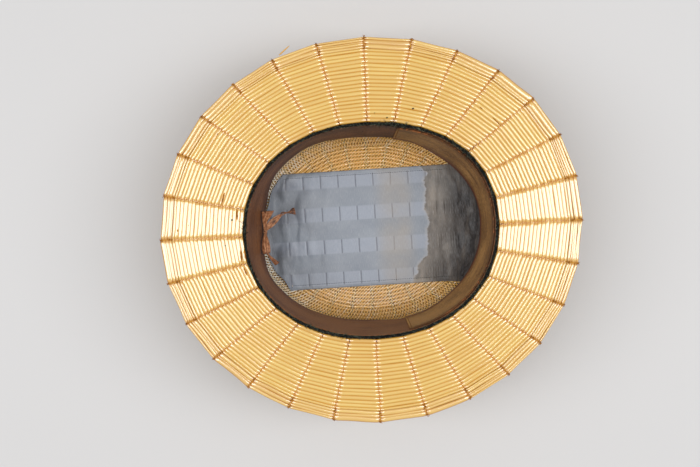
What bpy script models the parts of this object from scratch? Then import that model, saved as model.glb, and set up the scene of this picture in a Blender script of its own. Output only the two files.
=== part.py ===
"""A straw boater, lying upside down on the flat tip of its crown.

The x axis points to the front of the hat and z points up, so the brim is at the top. The origin is the
middle of the crown's flat outer tip. Every oval of the hat follows one outline rule. The straw and the net
against it have a corner at each of the 28 ties, between which the straws run straight.
"""

import math

import bmesh
import bpy
from mathutils import Vector

# Driving sizes, in metres
BRIM_HALF_LENGTH = 0.1638
BRIM_HALF_WIDTH = 0.1502
OPENING_HALF_LENGTH = 0.1000
OPENING_HALF_WIDTH = 0.0850
HAT_HEIGHT = 0.0871  # from the outer tip to the face of the brim round the opening
STRAW = 0.0028  # one straw across, which is the wall of the crown and of the brim
GAP = 0.0003  # left between pieces that touch

# The shared outline: a full oval with one corner pushed out by wear
TIES = 28
BRIM_FULLNESS = 2.0
OPENING_FULLNESS = 2.12
SWELL = 0.027
SWELL_ANGLE = math.radians(36)
SWELL_SPREAD = math.radians(30)
OUTLINE_STEPS = 3600  # short steps in which an outline's length is measured
REACH_HALVINGS = 40  # each one halves the error of a distance found by trial

# Crown
CROWN_RIM = HAT_HEIGHT - STRAW - 2 * GAP  # where the side ends under the brim
CROWN_TAPER = 0.0050  # how much nearer the middle each side is at the tip
CROWN_CORNER = 0.0050
CORNER_STEPS = 4

# Bound edge of the brim
EDGE_WIDTH = 0.0086
EDGE_THICKNESS = 0.0014
EDGE_ROUNDING = 0.0004
ROUNDED_FROM = math.radians(60)  # corners that turn more than this are rounded

# Leather sweatband, hung from the opening
WELT_RADIUS = 0.0014
WELT_ROUNDNESS = 2
WELT_RISE = 0.0006  # above the face of the brim
CHORD_DIP = 0.0008  # how far a straight run of straw lies inside its oval
LEATHER = 0.0012
LEATHER_ROWS = (0.0, 0.2, 0.45, 0.7, 0.88, 1.0)  # shares of the depth, closer where the leather bends in
BAND_DEPTH = 0.045
BAND_CURVE = 1.25  # over 1, the leather leans more the deeper it hangs
# How far the lower edge leans in where it leans most and least: degrees round the hat, metres
BAND_LEANS = (
    (-180, 0.0097),
    (-155, 0.0049),
    (-92, 0.0069),
    (-64, 0.0043),
    (-36, 0.0058),
    (0, 0.0052),
    (43, 0.0096),
    (66, 0.0066),
    (88, 0.0064),
    (126, 0.0034),
    (146, 0.0042),
    (168, 0.0097),
    (180, 0.0097),
)
FRONT_LEATHER = 0.0010
FRONT_FROM = math.radians(-70)
FRONT_TO = math.radians(73.5)
FRONT_TOP_DEPTH = 0.0012
FRONT_LOW_DEPTH = 0.0430
FRONT_STEPS = 30

# Linings
NET = 0.0010
NET_CORNER = 0.0075
NET_TOP = 0.0620
SILK = 0.0010
SILK_FLOOR = STRAW + GAP + NET + GAP
SILK_WIDTH = 0.1006
SILK_TURN = math.radians(1.5)
SILK_TOP = 0.0460
SILK_FRONT_CURVE = 0.0170
SILK_BACK_CURVE = 0.0100
SILK_BACK_TOP = 0.0072  # height of the silk's back end, at the foot of the wall
SILK_COLUMNS = 18
SILK_CURVE_STEPS = 16
SILK_ROWS_EACH_END = 13

# Ribbon bow on the back of the sweatband
RIBBON = 0.0008
KNOT_HALF_SIZE = Vector((0.0018, 0.0023, 0.0018))
KNOT_SEGMENTS = 16
KNOT_RINGS = 10
BOW_HEIGHT = 0.0435
LOOP_STEPS = 20
LOOP_PUFF = 0.0010

UPPER_LOOP = {"tip": (-0.0829, 0.0180, 0.0535), "width": 0.0112, "roll": math.radians(32)}
LOWER_LOOP = {"tip": (-0.0832, -0.0176, 0.0530), "width": 0.0076, "roll": math.radians(24)}

# Columns: x, y, z, width, roll in degrees
UPPER_TAIL = (
    (-0.0836, 0.0024, 0.0432, 0.0018, 0),
    (-0.0808, 0.0052, 0.0428, 0.0040, 6),
    (-0.0776, 0.0085, 0.0420, 0.0052, 10),
    (-0.0742, 0.0117, 0.0408, 0.0036, 4),
    (-0.0722, 0.0137, 0.0400, 0.0016, 20),
    (-0.0698, 0.0152, 0.0390, 0.0020, 60),
    (-0.0672, 0.0158, 0.0378, 0.0014, 20),
    (-0.0643, 0.0162, 0.0364, 0.0040, 0),
    (-0.0612, 0.0168, 0.0350, 0.0070, -8),
)
LOWER_TAIL = (
    (-0.0858, -0.0023, 0.0428, 0.0014, 0),
    (-0.0850, -0.0090, 0.0442, 0.0014, 0),
    (-0.0846, -0.0150, 0.0452, 0.0014, 0),
    (-0.0839, -0.0188, 0.0452, 0.0016, 0),
    (-0.0825, -0.0211, 0.0434, 0.0019, 6),
    (-0.0806, -0.0232, 0.0413, 0.0029, 8),
    (-0.0786, -0.0250, 0.0392, 0.0038, 4),
    (-0.0766, -0.0268, 0.0372, 0.0048, 0),
)

SHARP_FROM = math.radians(35)  # edges that turn more than this are shaded as sharp

# Name, base colour, roughness
FINISHES = {
    "straw": ((0.74, 0.49, 0.19), 0.45),
    "edge_straw": ((0.70, 0.44, 0.17), 0.38),
    "welt_cloth": ((0.012, 0.022, 0.018), 0.85),
    "dark_leather": ((0.085, 0.042, 0.030), 0.50),
    "tan_leather": ((0.17, 0.090, 0.048), 0.48),
    "net": ((0.62, 0.50, 0.32), 0.80),
    "silk": ((0.30, 0.33, 0.38), 0.42),
    "ribbon": ((0.34, 0.13, 0.065), 0.45),
}


def clear_scene():
    for obj in list(bpy.data.objects):
        bpy.data.objects.remove(obj, do_unlink=True)


def finish(name):
    """The material of that name."""
    if name in bpy.data.materials:
        return bpy.data.materials[name]
    colour, roughness = FINISHES[name]
    material = bpy.data.materials.new(name)
    material.use_nodes = True
    shader = material.node_tree.nodes["Principled BSDF"]
    shader.inputs["Base Color"].default_value = (*colour, 1.0)
    shader.inputs["Roughness"].default_value = roughness
    shader.inputs["Metallic"].default_value = 0.0
    return material


def oval_radius(half_length, half_width, fullness, angle):
    """How far the outline lies from the middle at a polar angle."""
    across = abs(math.cos(angle) / half_length) ** fullness
    along = abs(math.sin(angle) / half_width) ** fullness
    turn = math.remainder(angle - SWELL_ANGLE, math.tau)
    swell = SWELL * math.exp(-((turn / SWELL_SPREAD) ** 2))
    return (1 + swell) * (across + along) ** (-1 / fullness)


def oval_point(half_length, half_width, fullness, angle, z):
    radius = oval_radius(half_length, half_width, fullness, angle)
    return Vector((radius * math.cos(angle), radius * math.sin(angle), z))


def tie_angles(parts=1):
    """The polar angles of the ties, an equal length apart round the opening, each step split in parts."""
    first = math.pi / 2
    angles = [first - math.tau * i / OUTLINE_STEPS for i in range(OUTLINE_STEPS + 1)]
    half_sizes = (OPENING_HALF_LENGTH, OPENING_HALF_WIDTH)
    points = [oval_point(*half_sizes, OPENING_FULLNESS, angle, 0) for angle in angles]
    run = [0.0]
    for here, there in zip(points, points[1:]):
        run.append(run[-1] + (there - here).length)
    found = []
    at = 0
    for i in range(TIES * parts):
        wanted = run[-1] * i / (TIES * parts)
        while run[at + 1] < wanted:
            at += 1
        share = (wanted - run[at]) / (run[at + 1] - run[at])
        found.append(angles[at] + share * (angles[at + 1] - angles[at]))
    return found


def wall_through(name, rows, thickness, material, joined=False, capped=False, outward=False):
    """A solid wall with one face through the rows of points.

    Each row is linked to the next, and the last to the first where the wall is joined round. A cap closes
    the hole inside the first point of every row. The face looks along the cross product of a row's direction
    and the direction to the next row. The thickness is laid behind it, or in front of it if outward.
    """
    bm = bmesh.new()
    grid = [[bm.verts.new(point) for point in row] for row in rows]
    following = grid[1:] + grid[:1] if joined else grid[1:]
    for row, after in zip(grid, following):
        for i in range(len(row) - 1):
            bm.faces.new((row[i], row[i + 1], after[i + 1], after[i]))
    if capped:
        bm.faces.new([row[0] for row in grid])
    mesh = bpy.data.meshes.new(name)
    bm.to_mesh(mesh)
    bm.free()
    obj = add_object(name, mesh, material)
    wall = obj.modifiers.new("Wall", "SOLIDIFY")
    wall.thickness = thickness
    wall.offset = 1 if outward else -1
    wall.use_even_offset = True
    return obj


def add_object(name, data, material):
    obj = bpy.data.objects.new(name, data)
    obj.data.materials.append(finish(material))
    bpy.data.collections["straw_boater"].objects.link(obj)
    return obj


def cup_profile(inset, floor, corner, top):
    """Half length, half width and height of each outline of a cup that lies inside the crown's outer face."""
    profile = []
    for step in range(CORNER_STEPS + 1):
        turn = math.pi / 2 * step / CORNER_STEPS
        back = corner * (1 - math.sin(turn))
        rise = corner * (1 - math.cos(turn))
        profile.append((back, floor + rise))
    profile.append((0.0, top))
    rings = []
    for back, z in profile:
        lean = CROWN_TAPER * (1 - z / CROWN_RIM)
        shrink = STRAW - inset - lean - back
        rings.append((OPENING_HALF_LENGTH + shrink, OPENING_HALF_WIDTH + shrink, z))
    return rings


def cup(name, inset, floor, corner, top, thickness, material):
    """A cup with a flat bottom and rounded corner, its outer face inset from the crown's outer face."""
    rings = cup_profile(inset, floor, corner, top)
    rows = [
        [oval_point(length, width, OPENING_FULLNESS, angle, z) for length, width, z in rings]
        for angle in tie_angles()
    ]
    return wall_through(name, rows, thickness, material, joined=True, capped=True)


def brim_radius(angle, share):
    """How far out the brim's outline lies, from 0 at the opening to 1 at the edge."""
    inner = oval_radius(OPENING_HALF_LENGTH, OPENING_HALF_WIDTH, OPENING_FULLNESS, angle)
    outer = oval_radius(BRIM_HALF_LENGTH, BRIM_HALF_WIDTH, BRIM_FULLNESS, angle)
    return inner + share * (outer - inner)


def make_flat_ring(name, from_share, z, thickness, material):
    """A flat straw ring out to the brim's edge, its lower face at z."""
    rows = []
    for angle in tie_angles():
        row = []
        for share in (from_share, 1.0):
            radius = brim_radius(angle, share)
            row.append(Vector((radius * math.cos(angle), radius * math.sin(angle), z)))
        rows.append(row)
    return wall_through(name, rows, thickness, material, joined=True)


def make_brim():
    make_flat_ring("brim", 0.0, HAT_HEIGHT - STRAW, STRAW, "straw")
    from_share = 1 - EDGE_WIDTH / (BRIM_HALF_WIDTH - OPENING_HALF_WIDTH)
    edge = make_flat_ring("brim_edge", from_share, HAT_HEIGHT + GAP, EDGE_THICKNESS, "edge_straw")
    rounding = edge.modifiers.new("Rounding", "BEVEL")
    rounding.width = EDGE_ROUNDING
    rounding.segments = 2
    rounding.limit_method = "ANGLE"
    rounding.angle_limit = ROUNDED_FROM


def make_welt():
    inset = GAP + CHORD_DIP + WELT_RADIUS
    half_sizes = (OPENING_HALF_LENGTH - inset, OPENING_HALF_WIDTH - inset)
    height = HAT_HEIGHT + WELT_RISE - WELT_RADIUS
    curve = bpy.data.curves.new("welt", "CURVE")
    curve.dimensions = "3D"
    curve.bevel_depth = WELT_RADIUS
    curve.bevel_resolution = WELT_ROUNDNESS
    angles = tie_angles(2)
    line = curve.splines.new("POLY")
    line.points.add(len(angles) - 1)
    line.use_cyclic_u = True
    for point, angle in zip(line.points, angles):
        point.co = (*oval_point(*half_sizes, OPENING_FULLNESS, angle, height), 1.0)
    add_object("welt", curve, "welt_cloth")


def band_lean(angle):
    """How far the sweatband's lower edge leans in, between the places where it leans most and least."""
    degrees = math.degrees(math.remainder(angle, math.tau))
    for (near, near_lean), (far, far_lean) in zip(BAND_LEANS, BAND_LEANS[1:]):
        if degrees <= far:
            break
    share = (degrees - near) / (far - near)
    return near_lean + (far_lean - near_lean) * share * share * (3 - 2 * share)


def band_point(angle, depth, inset):
    """A place on the sweatband's outer face, or that far inside it, at a depth below the band's top edge."""
    under_welt = GAP + CHORD_DIP + WELT_RADIUS - LEATHER / 2 + inset
    half_length = OPENING_HALF_LENGTH - under_welt
    half_width = OPENING_HALF_WIDTH - under_welt
    top = HAT_HEIGHT + WELT_RISE - 2 * WELT_RADIUS - GAP
    place = oval_point(half_length, half_width, OPENING_FULLNESS, angle, top - depth)
    lean = band_lean(angle) * (depth / BAND_DEPTH) ** BAND_CURVE
    place.x -= lean * math.cos(angle)
    place.y -= lean * math.sin(angle)
    return place


def make_sweatband():
    depths = [BAND_DEPTH * share for share in reversed(LEATHER_ROWS)]
    rows = [[band_point(angle, depth, 0) for depth in depths] for angle in tie_angles(2)]
    wall_through("sweatband", rows, LEATHER, "dark_leather", joined=True)

    depth_range = FRONT_LOW_DEPTH - FRONT_TOP_DEPTH
    depths = [FRONT_TOP_DEPTH + depth_range * share for share in LEATHER_ROWS]
    angles = [FRONT_FROM + (FRONT_TO - FRONT_FROM) * i / FRONT_STEPS for i in range(FRONT_STEPS + 1)]
    inset = LEATHER + 1.5 * GAP  # the leather leans, so a level step this wide leaves the usual gap
    rows = [[band_point(angle, depth, inset) for depth in depths] for angle in angles]
    wall_through("sweatband_front", rows, FRONT_LEATHER, "tan_leather")


def silk_reach(across, z, way):
    """How far along the panel, forwards or backwards, the net's inner face lies at that height."""
    shrink = -(NET + 3 * GAP + CHORD_DIP) - CROWN_TAPER * (1 - z / CROWN_RIM)
    half_length = OPENING_HALF_LENGTH + shrink
    half_width = OPENING_HALF_WIDTH + shrink
    near, far = 0.0, OPENING_HALF_LENGTH
    for _ in range(REACH_HALVINGS):
        middle = (near + far) / 2
        x = way * middle
        angle = math.atan2(across, x) + SILK_TURN
        if math.hypot(x, across) < oval_radius(half_length, half_width, OPENING_FULLNESS, angle):
            near = middle
        else:
            far = middle
    return near


def silk_route(across, way, curve, top):
    """Points from the middle of the panel out along the tip, round the corner and up the wall."""
    foot = silk_reach(across, SILK_FLOOR, way)
    head = silk_reach(across, SILK_TOP, way)
    slope = math.atan2(SILK_TOP - SILK_FLOOR, head - foot)
    back = curve * math.tan(slope / 2)
    route = [(0.0, SILK_FLOOR)]
    for i in range(SILK_CURVE_STEPS + 1):
        turn = slope * i / SILK_CURVE_STEPS
        rise = curve * (1 - math.cos(turn))
        route.append((foot - back + curve * math.sin(turn), SILK_FLOOR + rise))
    route.append((head, SILK_TOP))
    kept = [route[0]]
    for here, there in zip(route, route[1:]):
        if there[1] < top:
            kept.append(there)
            continue
        share = (top - here[1]) / (there[1] - here[1])
        kept.append((here[0] + share * (there[0] - here[0]), top))
        break
    return kept


def spaced(route, count):
    """Points an equal length apart along a route, without its first one."""
    run = [0.0]
    for here, there in zip(route, route[1:]):
        run.append(run[-1] + math.dist(here, there))
    found = []
    at = 0
    for i in range(1, count + 1):
        wanted = run[-1] * i / count
        while at < len(route) - 2 and run[at + 1] < wanted:
            at += 1
        share = (wanted - run[at]) / (run[at + 1] - run[at])
        found.append(tuple(a + share * (b - a) for a, b in zip(route[at], route[at + 1])))
    return found


def silk_column(across_share):
    """One lengthwise line of the silk panel, from its back end to its front end."""
    across = across_share * SILK_WIDTH / 2
    back = spaced(silk_route(across, -1, SILK_BACK_CURVE, SILK_BACK_TOP), SILK_ROWS_EACH_END)
    front = spaced(silk_route(across, 1, SILK_FRONT_CURVE, SILK_TOP), SILK_ROWS_EACH_END)
    line = [(-out, z) for out, z in reversed(back)] + [(0.0, SILK_FLOOR)] + front
    turn_cos, turn_sin = math.cos(SILK_TURN), math.sin(SILK_TURN)
    return [
        Vector((along * turn_cos - across * turn_sin, along * turn_sin + across * turn_cos, z))
        for along, z in line
    ]


def make_linings():
    cup("gauze_lining", STRAW + GAP, STRAW + GAP, NET_CORNER, NET_TOP, NET, "net")
    columns = [silk_column(1 - 2 * i / SILK_COLUMNS) for i in range(SILK_COLUMNS + 1)]
    wall_through("silk_lining", columns, SILK, "silk")


def ribbon_rows(places, widths, rolls):
    """Three points across the ribbon at each place, square to the way it runs and rolled out of level."""
    rows = []
    for i, (place, width, roll) in enumerate(zip(places, widths, rolls)):
        way = (places[min(i + 1, len(places) - 1)] - places[max(i - 1, 0)]).normalized()
        level = way.cross(Vector((0, 0, 1))).normalized()
        across = level * math.cos(roll) + way.cross(level) * math.sin(roll)
        rows.append([place - across * width / 2, place, place + across * width / 2])
    return rows


def ribbon_loop(name, knot, loop):
    """A closed loop of ribbon from the knot, narrow where it is gathered and wide at its fold."""
    tip = Vector(loop["tip"])
    way = (tip - knot).normalized()
    start = knot + way * (KNOT_HALF_SIZE.y + GAP + RIBBON + 2 * GAP)
    level = way.cross(Vector((0, 0, 1))).normalized()
    across = level * math.cos(loop["roll"]) + way.cross(level) * math.sin(loop["roll"])
    if across.x < 0:
        across = across * -1
    lift = across.cross(way)
    rows = []
    for step in range(LOOP_STEPS):
        turn = math.tau * step / LOOP_STEPS
        out = (1 - math.cos(turn)) / 2
        centre = start.lerp(tip, out) + lift * LOOP_PUFF * math.sin(turn)
        half = (2 * KNOT_HALF_SIZE.x * (1 - out) + loop["width"] * out) / 2
        rows.append([centre - across * half, centre, centre + across * half])
    wall_through(name, rows, RIBBON, "ribbon", joined=True, outward=True)


def ribbon_tail(name, table):
    places = [Vector(row[:3]) for row in table]
    rows = ribbon_rows(places, [row[3] for row in table], [math.radians(row[4]) for row in table])
    wall_through(name, rows, RIBBON, "ribbon")


def make_bow():
    leather = band_point(math.pi, HAT_HEIGHT - BOW_HEIGHT - STRAW, LEATHER)
    knot = Vector((leather.x + 2 * GAP + KNOT_HALF_SIZE.x, 0.0006, BOW_HEIGHT))
    mesh = bpy.data.meshes.new("bow_knot")
    bm = bmesh.new()
    bmesh.ops.create_uvsphere(bm, u_segments=KNOT_SEGMENTS, v_segments=KNOT_RINGS, radius=1.0)
    bmesh.ops.scale(bm, vec=KNOT_HALF_SIZE, verts=bm.verts)
    bm.to_mesh(mesh)
    bm.free()
    add_object("bow_knot", mesh, "ribbon").location = knot
    ribbon_loop("bow_loop_upper", knot, UPPER_LOOP)
    ribbon_loop("bow_loop_lower", knot, LOWER_LOOP)
    ribbon_tail("bow_tail_upper", UPPER_TAIL)
    ribbon_tail("bow_tail_lower", LOWER_TAIL)


def shade():
    """Smooth over gentle turns and sharp over the rest."""
    for obj in bpy.data.collections["straw_boater"].objects:
        if obj.type == "MESH":
            obj.data.shade_smooth()
            obj.data.set_sharp_from_angle(angle=SHARP_FROM)


def main():
    clear_scene()
    bpy.context.scene.collection.children.link(bpy.data.collections.new("straw_boater"))
    cup("crown", 0.0, 0.0, CROWN_CORNER, CROWN_RIM, STRAW, "straw")
    make_brim()
    make_welt()
    make_sweatband()
    make_linings()
    make_bow()
    shade()


main()
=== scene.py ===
"""The looks of the straw boater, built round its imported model.

Metres throughout. The hat lies upside down on its crown's tip, x points to its front and z points up. The
straw runs in rows that are tied down at 28 radial lines. Every oval follows the same outline rule as the
packed walls.
"""

import math

import bpy
import numpy as np
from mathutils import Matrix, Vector, noise


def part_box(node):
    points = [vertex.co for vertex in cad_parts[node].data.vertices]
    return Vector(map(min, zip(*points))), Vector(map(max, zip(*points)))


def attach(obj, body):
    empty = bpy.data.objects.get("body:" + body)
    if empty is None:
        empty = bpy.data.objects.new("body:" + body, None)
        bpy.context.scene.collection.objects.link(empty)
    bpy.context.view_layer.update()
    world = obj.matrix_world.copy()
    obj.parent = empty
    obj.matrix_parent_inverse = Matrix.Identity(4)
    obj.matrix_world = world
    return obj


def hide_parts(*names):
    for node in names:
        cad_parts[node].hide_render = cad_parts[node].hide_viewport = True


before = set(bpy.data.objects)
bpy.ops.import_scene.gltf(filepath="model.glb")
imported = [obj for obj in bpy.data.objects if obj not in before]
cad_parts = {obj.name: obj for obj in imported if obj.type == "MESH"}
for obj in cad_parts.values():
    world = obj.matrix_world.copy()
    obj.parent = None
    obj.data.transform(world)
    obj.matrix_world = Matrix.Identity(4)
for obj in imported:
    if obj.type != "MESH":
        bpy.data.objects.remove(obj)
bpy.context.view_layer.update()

MM = 0.001
UP = np.array([0, 0, 1.0])

# The outline rule and the walls that it shapes
TIES = 28
BRIM_HALF = (0.1638, 0.1502)
OPENING_HALF = (0.1000, 0.0850)
BRIM_REACH = (BRIM_HALF[0] - OPENING_HALF[0] + BRIM_HALF[1] - OPENING_HALF[1]) / 2
BRIM_FULLNESS = 2.0
OPENING_FULLNESS = 2.12
SWELL = 0.027
SWELL_ANGLE = math.radians(36)
SWELL_SPREAD = math.radians(30)
HAT_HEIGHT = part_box("brim")[1].z
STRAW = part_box("brim")[1].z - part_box("brim")[0].z
CROWN_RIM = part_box("crown")[1].z
CROWN_TAPER = 5.0 * MM
CROWN_CORNER = 5.0 * MM
FINE_ANGLES = 3600  # a tenth of a degree each


def bell(distance, reach):
    """1 in the middle and near 0 beyond twice the reach."""
    return np.exp(-((distance / reach) ** 2))


def ramp_up(value, low, high):
    """From 0 to 1 while a value passes from low to high."""
    return np.clip((value - low) / (high - low), 0, 1)


def oval_radius(half, angle, fullness=OPENING_FULLNESS):
    across = np.abs(np.cos(angle) / half[0]) ** fullness
    along = np.abs(np.sin(angle) / half[1]) ** fullness
    turn = (angle - SWELL_ANGLE + math.pi) % math.tau - math.pi
    return (1 + SWELL * bell(turn, SWELL_SPREAD)) * (across + along) ** (-1 / fullness)


def polar(radius, angle, z=0.0):
    return np.array([radius * math.cos(angle), radius * math.sin(angle), z])


def ring_point(half, angle, z):
    return polar(oval_radius(half, angle), angle, z)


def unit(vectors):
    return vectors / np.maximum(np.linalg.norm(vectors, axis=-1, keepdims=True), 1e-12)


def ring_ways(points):
    """Which way a closed line runs at each of its points."""
    return unit(np.roll(points, -1, axis=0) - np.roll(points, 1, axis=0))


def run_along(points):
    """How far along a line each of its points lies."""
    return np.concatenate([[0], np.cumsum(np.linalg.norm(np.diff(points, axis=0), axis=1))])


def equal_angles(count):
    """Polar angles an equal length apart round the opening, clockwise from the +y side."""
    fine = math.pi / 2 - np.linspace(0, math.tau, FINE_ANGLES + 1)
    radius = oval_radius(OPENING_HALF, fine)
    run = run_along(np.stack([radius * np.cos(fine), radius * np.sin(fine)], axis=1))
    return np.interp(np.arange(count) / count * run[-1], run, fine)


TIE_ANGLES = equal_angles(TIES)


# Collecting the points and faces of a piece

SEED_ACROSS = 0.37  # how far a strand's seed moves its fibres sideways, for each length along it


class Pile:
    """The points and faces of one piece. Each point also keeps where it lies along, across and through its
    strand or sheet, and a tone and a stain from 0 to 1."""

    def __init__(self):
        self.points, self.lies, self.tones, self.stains, self.faces = [], [], [], [], []
        self.count = 0

    def add(self, points, faces, lies, tones, stains):
        self.points.append(points)
        self.lies.append(lies)
        self.tones.append(tones)
        self.stains.append(stains)
        self.faces.extend((faces + self.count).tolist())
        self.count += len(points)

    def sweep(
        self, centres, sides, ups, widths, heights, corners=8, closed=False, tone=0.5, stain=0.0, seed=0.0
    ):
        """A tube through the centres, with half its size along sides and ups. The seed moves its fibres."""
        n = len(centres)
        turn = (np.arange(corners) + 0.5) * math.tau / corners
        across = np.broadcast_to(widths, n)[:, None] * np.cos(turn)
        up = np.broadcast_to(heights, n)[:, None] * np.sin(turn)
        points = centres[:, None] + sides[:, None] * across[..., None] + ups[:, None] * up[..., None]
        run = np.broadcast_to(run_along(centres)[:, None], across.shape)
        lies = np.stack([run + seed, across + seed * SEED_ACROSS, up], axis=-1)
        rows = np.arange(n if closed else n - 1)[:, None]
        around = np.arange(corners)[None, :]
        beside = (around + 1) % corners
        here, after = rows * corners, (rows + 1) % n * corners
        quads = np.stack([here + around, here + beside, after + beside, after + around], axis=-1)
        tones = np.repeat(np.broadcast_to(tone, n), corners)
        stains = np.repeat(np.broadcast_to(stain, n), corners)
        first = self.count
        self.add(points.reshape(-1, 3), quads.reshape(-1, 4), lies.reshape(-1, 3), tones, stains)
        if not closed:
            last = first + (n - 1) * corners
            self.faces.append(list(range(first + corners - 1, first - 1, -1)))
            self.faces.append(list(range(last, last + corners)))

    def strand(self, centres, radius, corners=5, face=UP, **facts):
        """A round strand through the centres, its upper side towards the face direction."""
        ways = unit(np.gradient(centres, axis=0))
        sides = unit(np.cross(np.broadcast_to(face, centres.shape), ways))
        ups = unit(np.cross(ways, sides))
        self.sweep(centres, sides, ups, radius, radius, corners, **facts)

    def shell(self, grid, thickness, lies, joined=False, tone=0.5, stain=0.0):
        """A sheet through a grid of points with half its thickness on each side, closed all round."""
        rows, columns = grid.shape[:2]
        size = rows * columns
        padded = np.concatenate([grid[-1:], grid, grid[:1]]) if joined else grid
        along = np.gradient(padded, axis=0)
        along = along[1:-1] if joined else along
        normals = unit(np.cross(along, np.gradient(grid, axis=1)))
        half = normals * np.broadcast_to(thickness, (rows, columns))[..., None] / 2
        points = np.concatenate([(grid + half).reshape(-1, 3), (grid - half).reshape(-1, 3)])
        i = np.arange(rows if joined else rows - 1)[:, None]
        j = np.arange(columns - 1)[None, :]
        here, after = i * columns, (i + 1) % rows * columns
        top = np.stack([here + j, after + j, after + j + 1, here + j + 1], axis=-1).reshape(-1, 4)
        under = top[:, ::-1] + size
        near, next_near, first = here.ravel(), after.ravel(), j.ravel()
        rims = [(near, next_near, -1), (near + columns - 1, next_near + columns - 1, 1)]
        if not joined:
            last = first + size - columns
            rims += [(first, first + 1, 1), (last, last + 1, -1)]
        walls = [np.stack([a, b, b + size, a + size], axis=-1)[:, ::way] for a, b, way in rims]
        faces = np.concatenate([top, under, *walls])
        tones = np.broadcast_to(tone, (rows, columns)).ravel()
        stains = np.broadcast_to(stain, (rows, columns)).ravel()
        self.add(points, faces, np.tile(lies.reshape(-1, 3), (2, 1)), np.tile(tones, 2), np.tile(stains, 2))

    def build(self, name, material, slot, nodes=()):
        mesh = bpy.data.meshes.new(name)
        mesh.from_pydata(np.concatenate(self.points).tolist(), [], self.faces)
        for fact, kind, key, values in (
            ("lie", "FLOAT_VECTOR", "vector", self.lies),
            ("tone", "FLOAT", "value", self.tones),
            ("stain", "FLOAT", "value", self.stains),
        ):
            values = np.concatenate(values).astype(np.float32).ravel()
            mesh.attributes.new(fact, kind, "POINT").data.foreach_set(key, values)
        mesh.shade_smooth()
        mesh.materials.append(material)
        piece = bpy.data.objects.new(name, mesh)
        bpy.context.scene.collection.objects.link(piece)
        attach(piece, "root")
        if nodes:
            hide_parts(*nodes)
        return piece


# Materials

STRAW_GLOSS = 2.34  # refractive index of the straw's varnish, stronger than real to match its white streaks
BODY_GLOSS = 1.5
NOISE_RANGE = (0.3, 0.7)  # where nearly all of a noise lies


def srgb(red, green, blue):
    """A colour as painters give it, from 0 to 255, as the light that the shaders reckon with."""
    scaled = (np.array([red, green, blue]) / 255 + 0.055) / 1.055
    return (*(scaled**2.4).tolist(), 1.0)


class Finish:
    """A material and short ways to add its nodes. Each way returns the socket that holds its result."""

    def __init__(self, name):
        self.material = bpy.data.materials.new(name)
        self.material.use_nodes = True
        self.tree = self.material.node_tree
        self.shader = self.tree.nodes["Principled BSDF"]

    def feed(self, socket, value):
        if isinstance(value, bpy.types.NodeSocket):
            self.tree.links.new(value, socket)
        else:
            socket.default_value = value

    def node(self, kind, inputs, **settings):
        """A new node, its inputs fed by name or number. Alone among the ways, it returns the node itself."""
        node = self.tree.nodes.new("ShaderNode" + kind)
        for name, setting in settings.items():
            setattr(node, name, setting)
        for key, value in inputs.items():
            self.feed(node.inputs[key], value)
        return node

    def surface(self, **values):
        for name, value in values.items():
            self.feed(self.shader.inputs[name.replace("_", " ")], value)

    def attribute(self, name, out="Fac"):
        return self.node("Attribute", {}, attribute_name=name).outputs[out]

    def scaled(self, vector, factors):
        return self.node("VectorMath", {0: vector, 1: factors}, operation="MULTIPLY").outputs[0]

    def split(self, vector):
        return self.node("SeparateXYZ", {0: vector}).outputs

    def noise(self, where, scale, detail=3.0, roughness=0.55):
        """Noise with about so many waves in a metre along, across and through a strand or sheet."""
        inputs = {"Vector": self.scaled(where, scale), "Scale": 1.0, "Detail": detail, "Roughness": roughness}
        return self.node("TexNoise", inputs).outputs["Fac"]

    def maths(self, operation, *values):
        return self.node("Math", dict(enumerate(values)), operation=operation).outputs[0]

    def add(self, first, second):
        return self.maths("ADD", first, second)

    def times(self, first, second):
        return self.maths("MULTIPLY", first, second)

    def stretch(self, value, low, high, to_low=0.0, to_high=1.0, smooth=False):
        inputs = dict(enumerate((value, low, high, to_low, to_high)))
        return self.node(
            "MapRange", inputs, interpolation_type="SMOOTHSTEP" if smooth else "LINEAR"
        ).outputs[0]

    def hill(self, value, rise, fall, smooth=True):
        """From 0 up to 1 while the value passes the rise, and down again while it passes the fall."""
        up = self.stretch(value, *rise, smooth=smooth)
        return self.times(up, self.stretch(value, *fall, 1.0, 0.0, smooth=smooth))

    def vary(self, tone, noise_socket, amount):
        """A tone that a noise moves up and down by up to an amount."""
        return self.add(tone, self.stretch(noise_socket, *NOISE_RANGE, -amount, amount))

    def ramp(self, value, *stops):
        node = self.node("ValToRGB", {0: value})
        for i, (place, colour) in enumerate(stops):
            stop = node.color_ramp.elements[i] if i < 2 else node.color_ramp.elements.new(place)
            stop.position = place
            stop.color = colour
        return node.outputs[0]

    def mix(self, share, first, second):
        node = self.node("Mix", {0: share}, data_type="RGBA")
        colours = [socket for socket in node.inputs if socket.type == "RGBA"]
        self.feed(colours[0], first)
        self.feed(colours[1], second)
        return next(socket for socket in node.outputs if socket.type == "RGBA")

    def bump(self, height, distance, over=None):
        inputs = {"Strength": 1.0, "Distance": distance, "Height": height}
        if over:
            inputs["Normal"] = over
        return self.node("Bump", inputs).outputs[0]


def straw_colour(finish, shade, groove_shading, pale, deep, groove_shade_colour):
    colour = finish.ramp(shade, (0.0, deep), (1.0, pale))
    return finish.mix(groove_shading, colour, groove_shade_colour)


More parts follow.
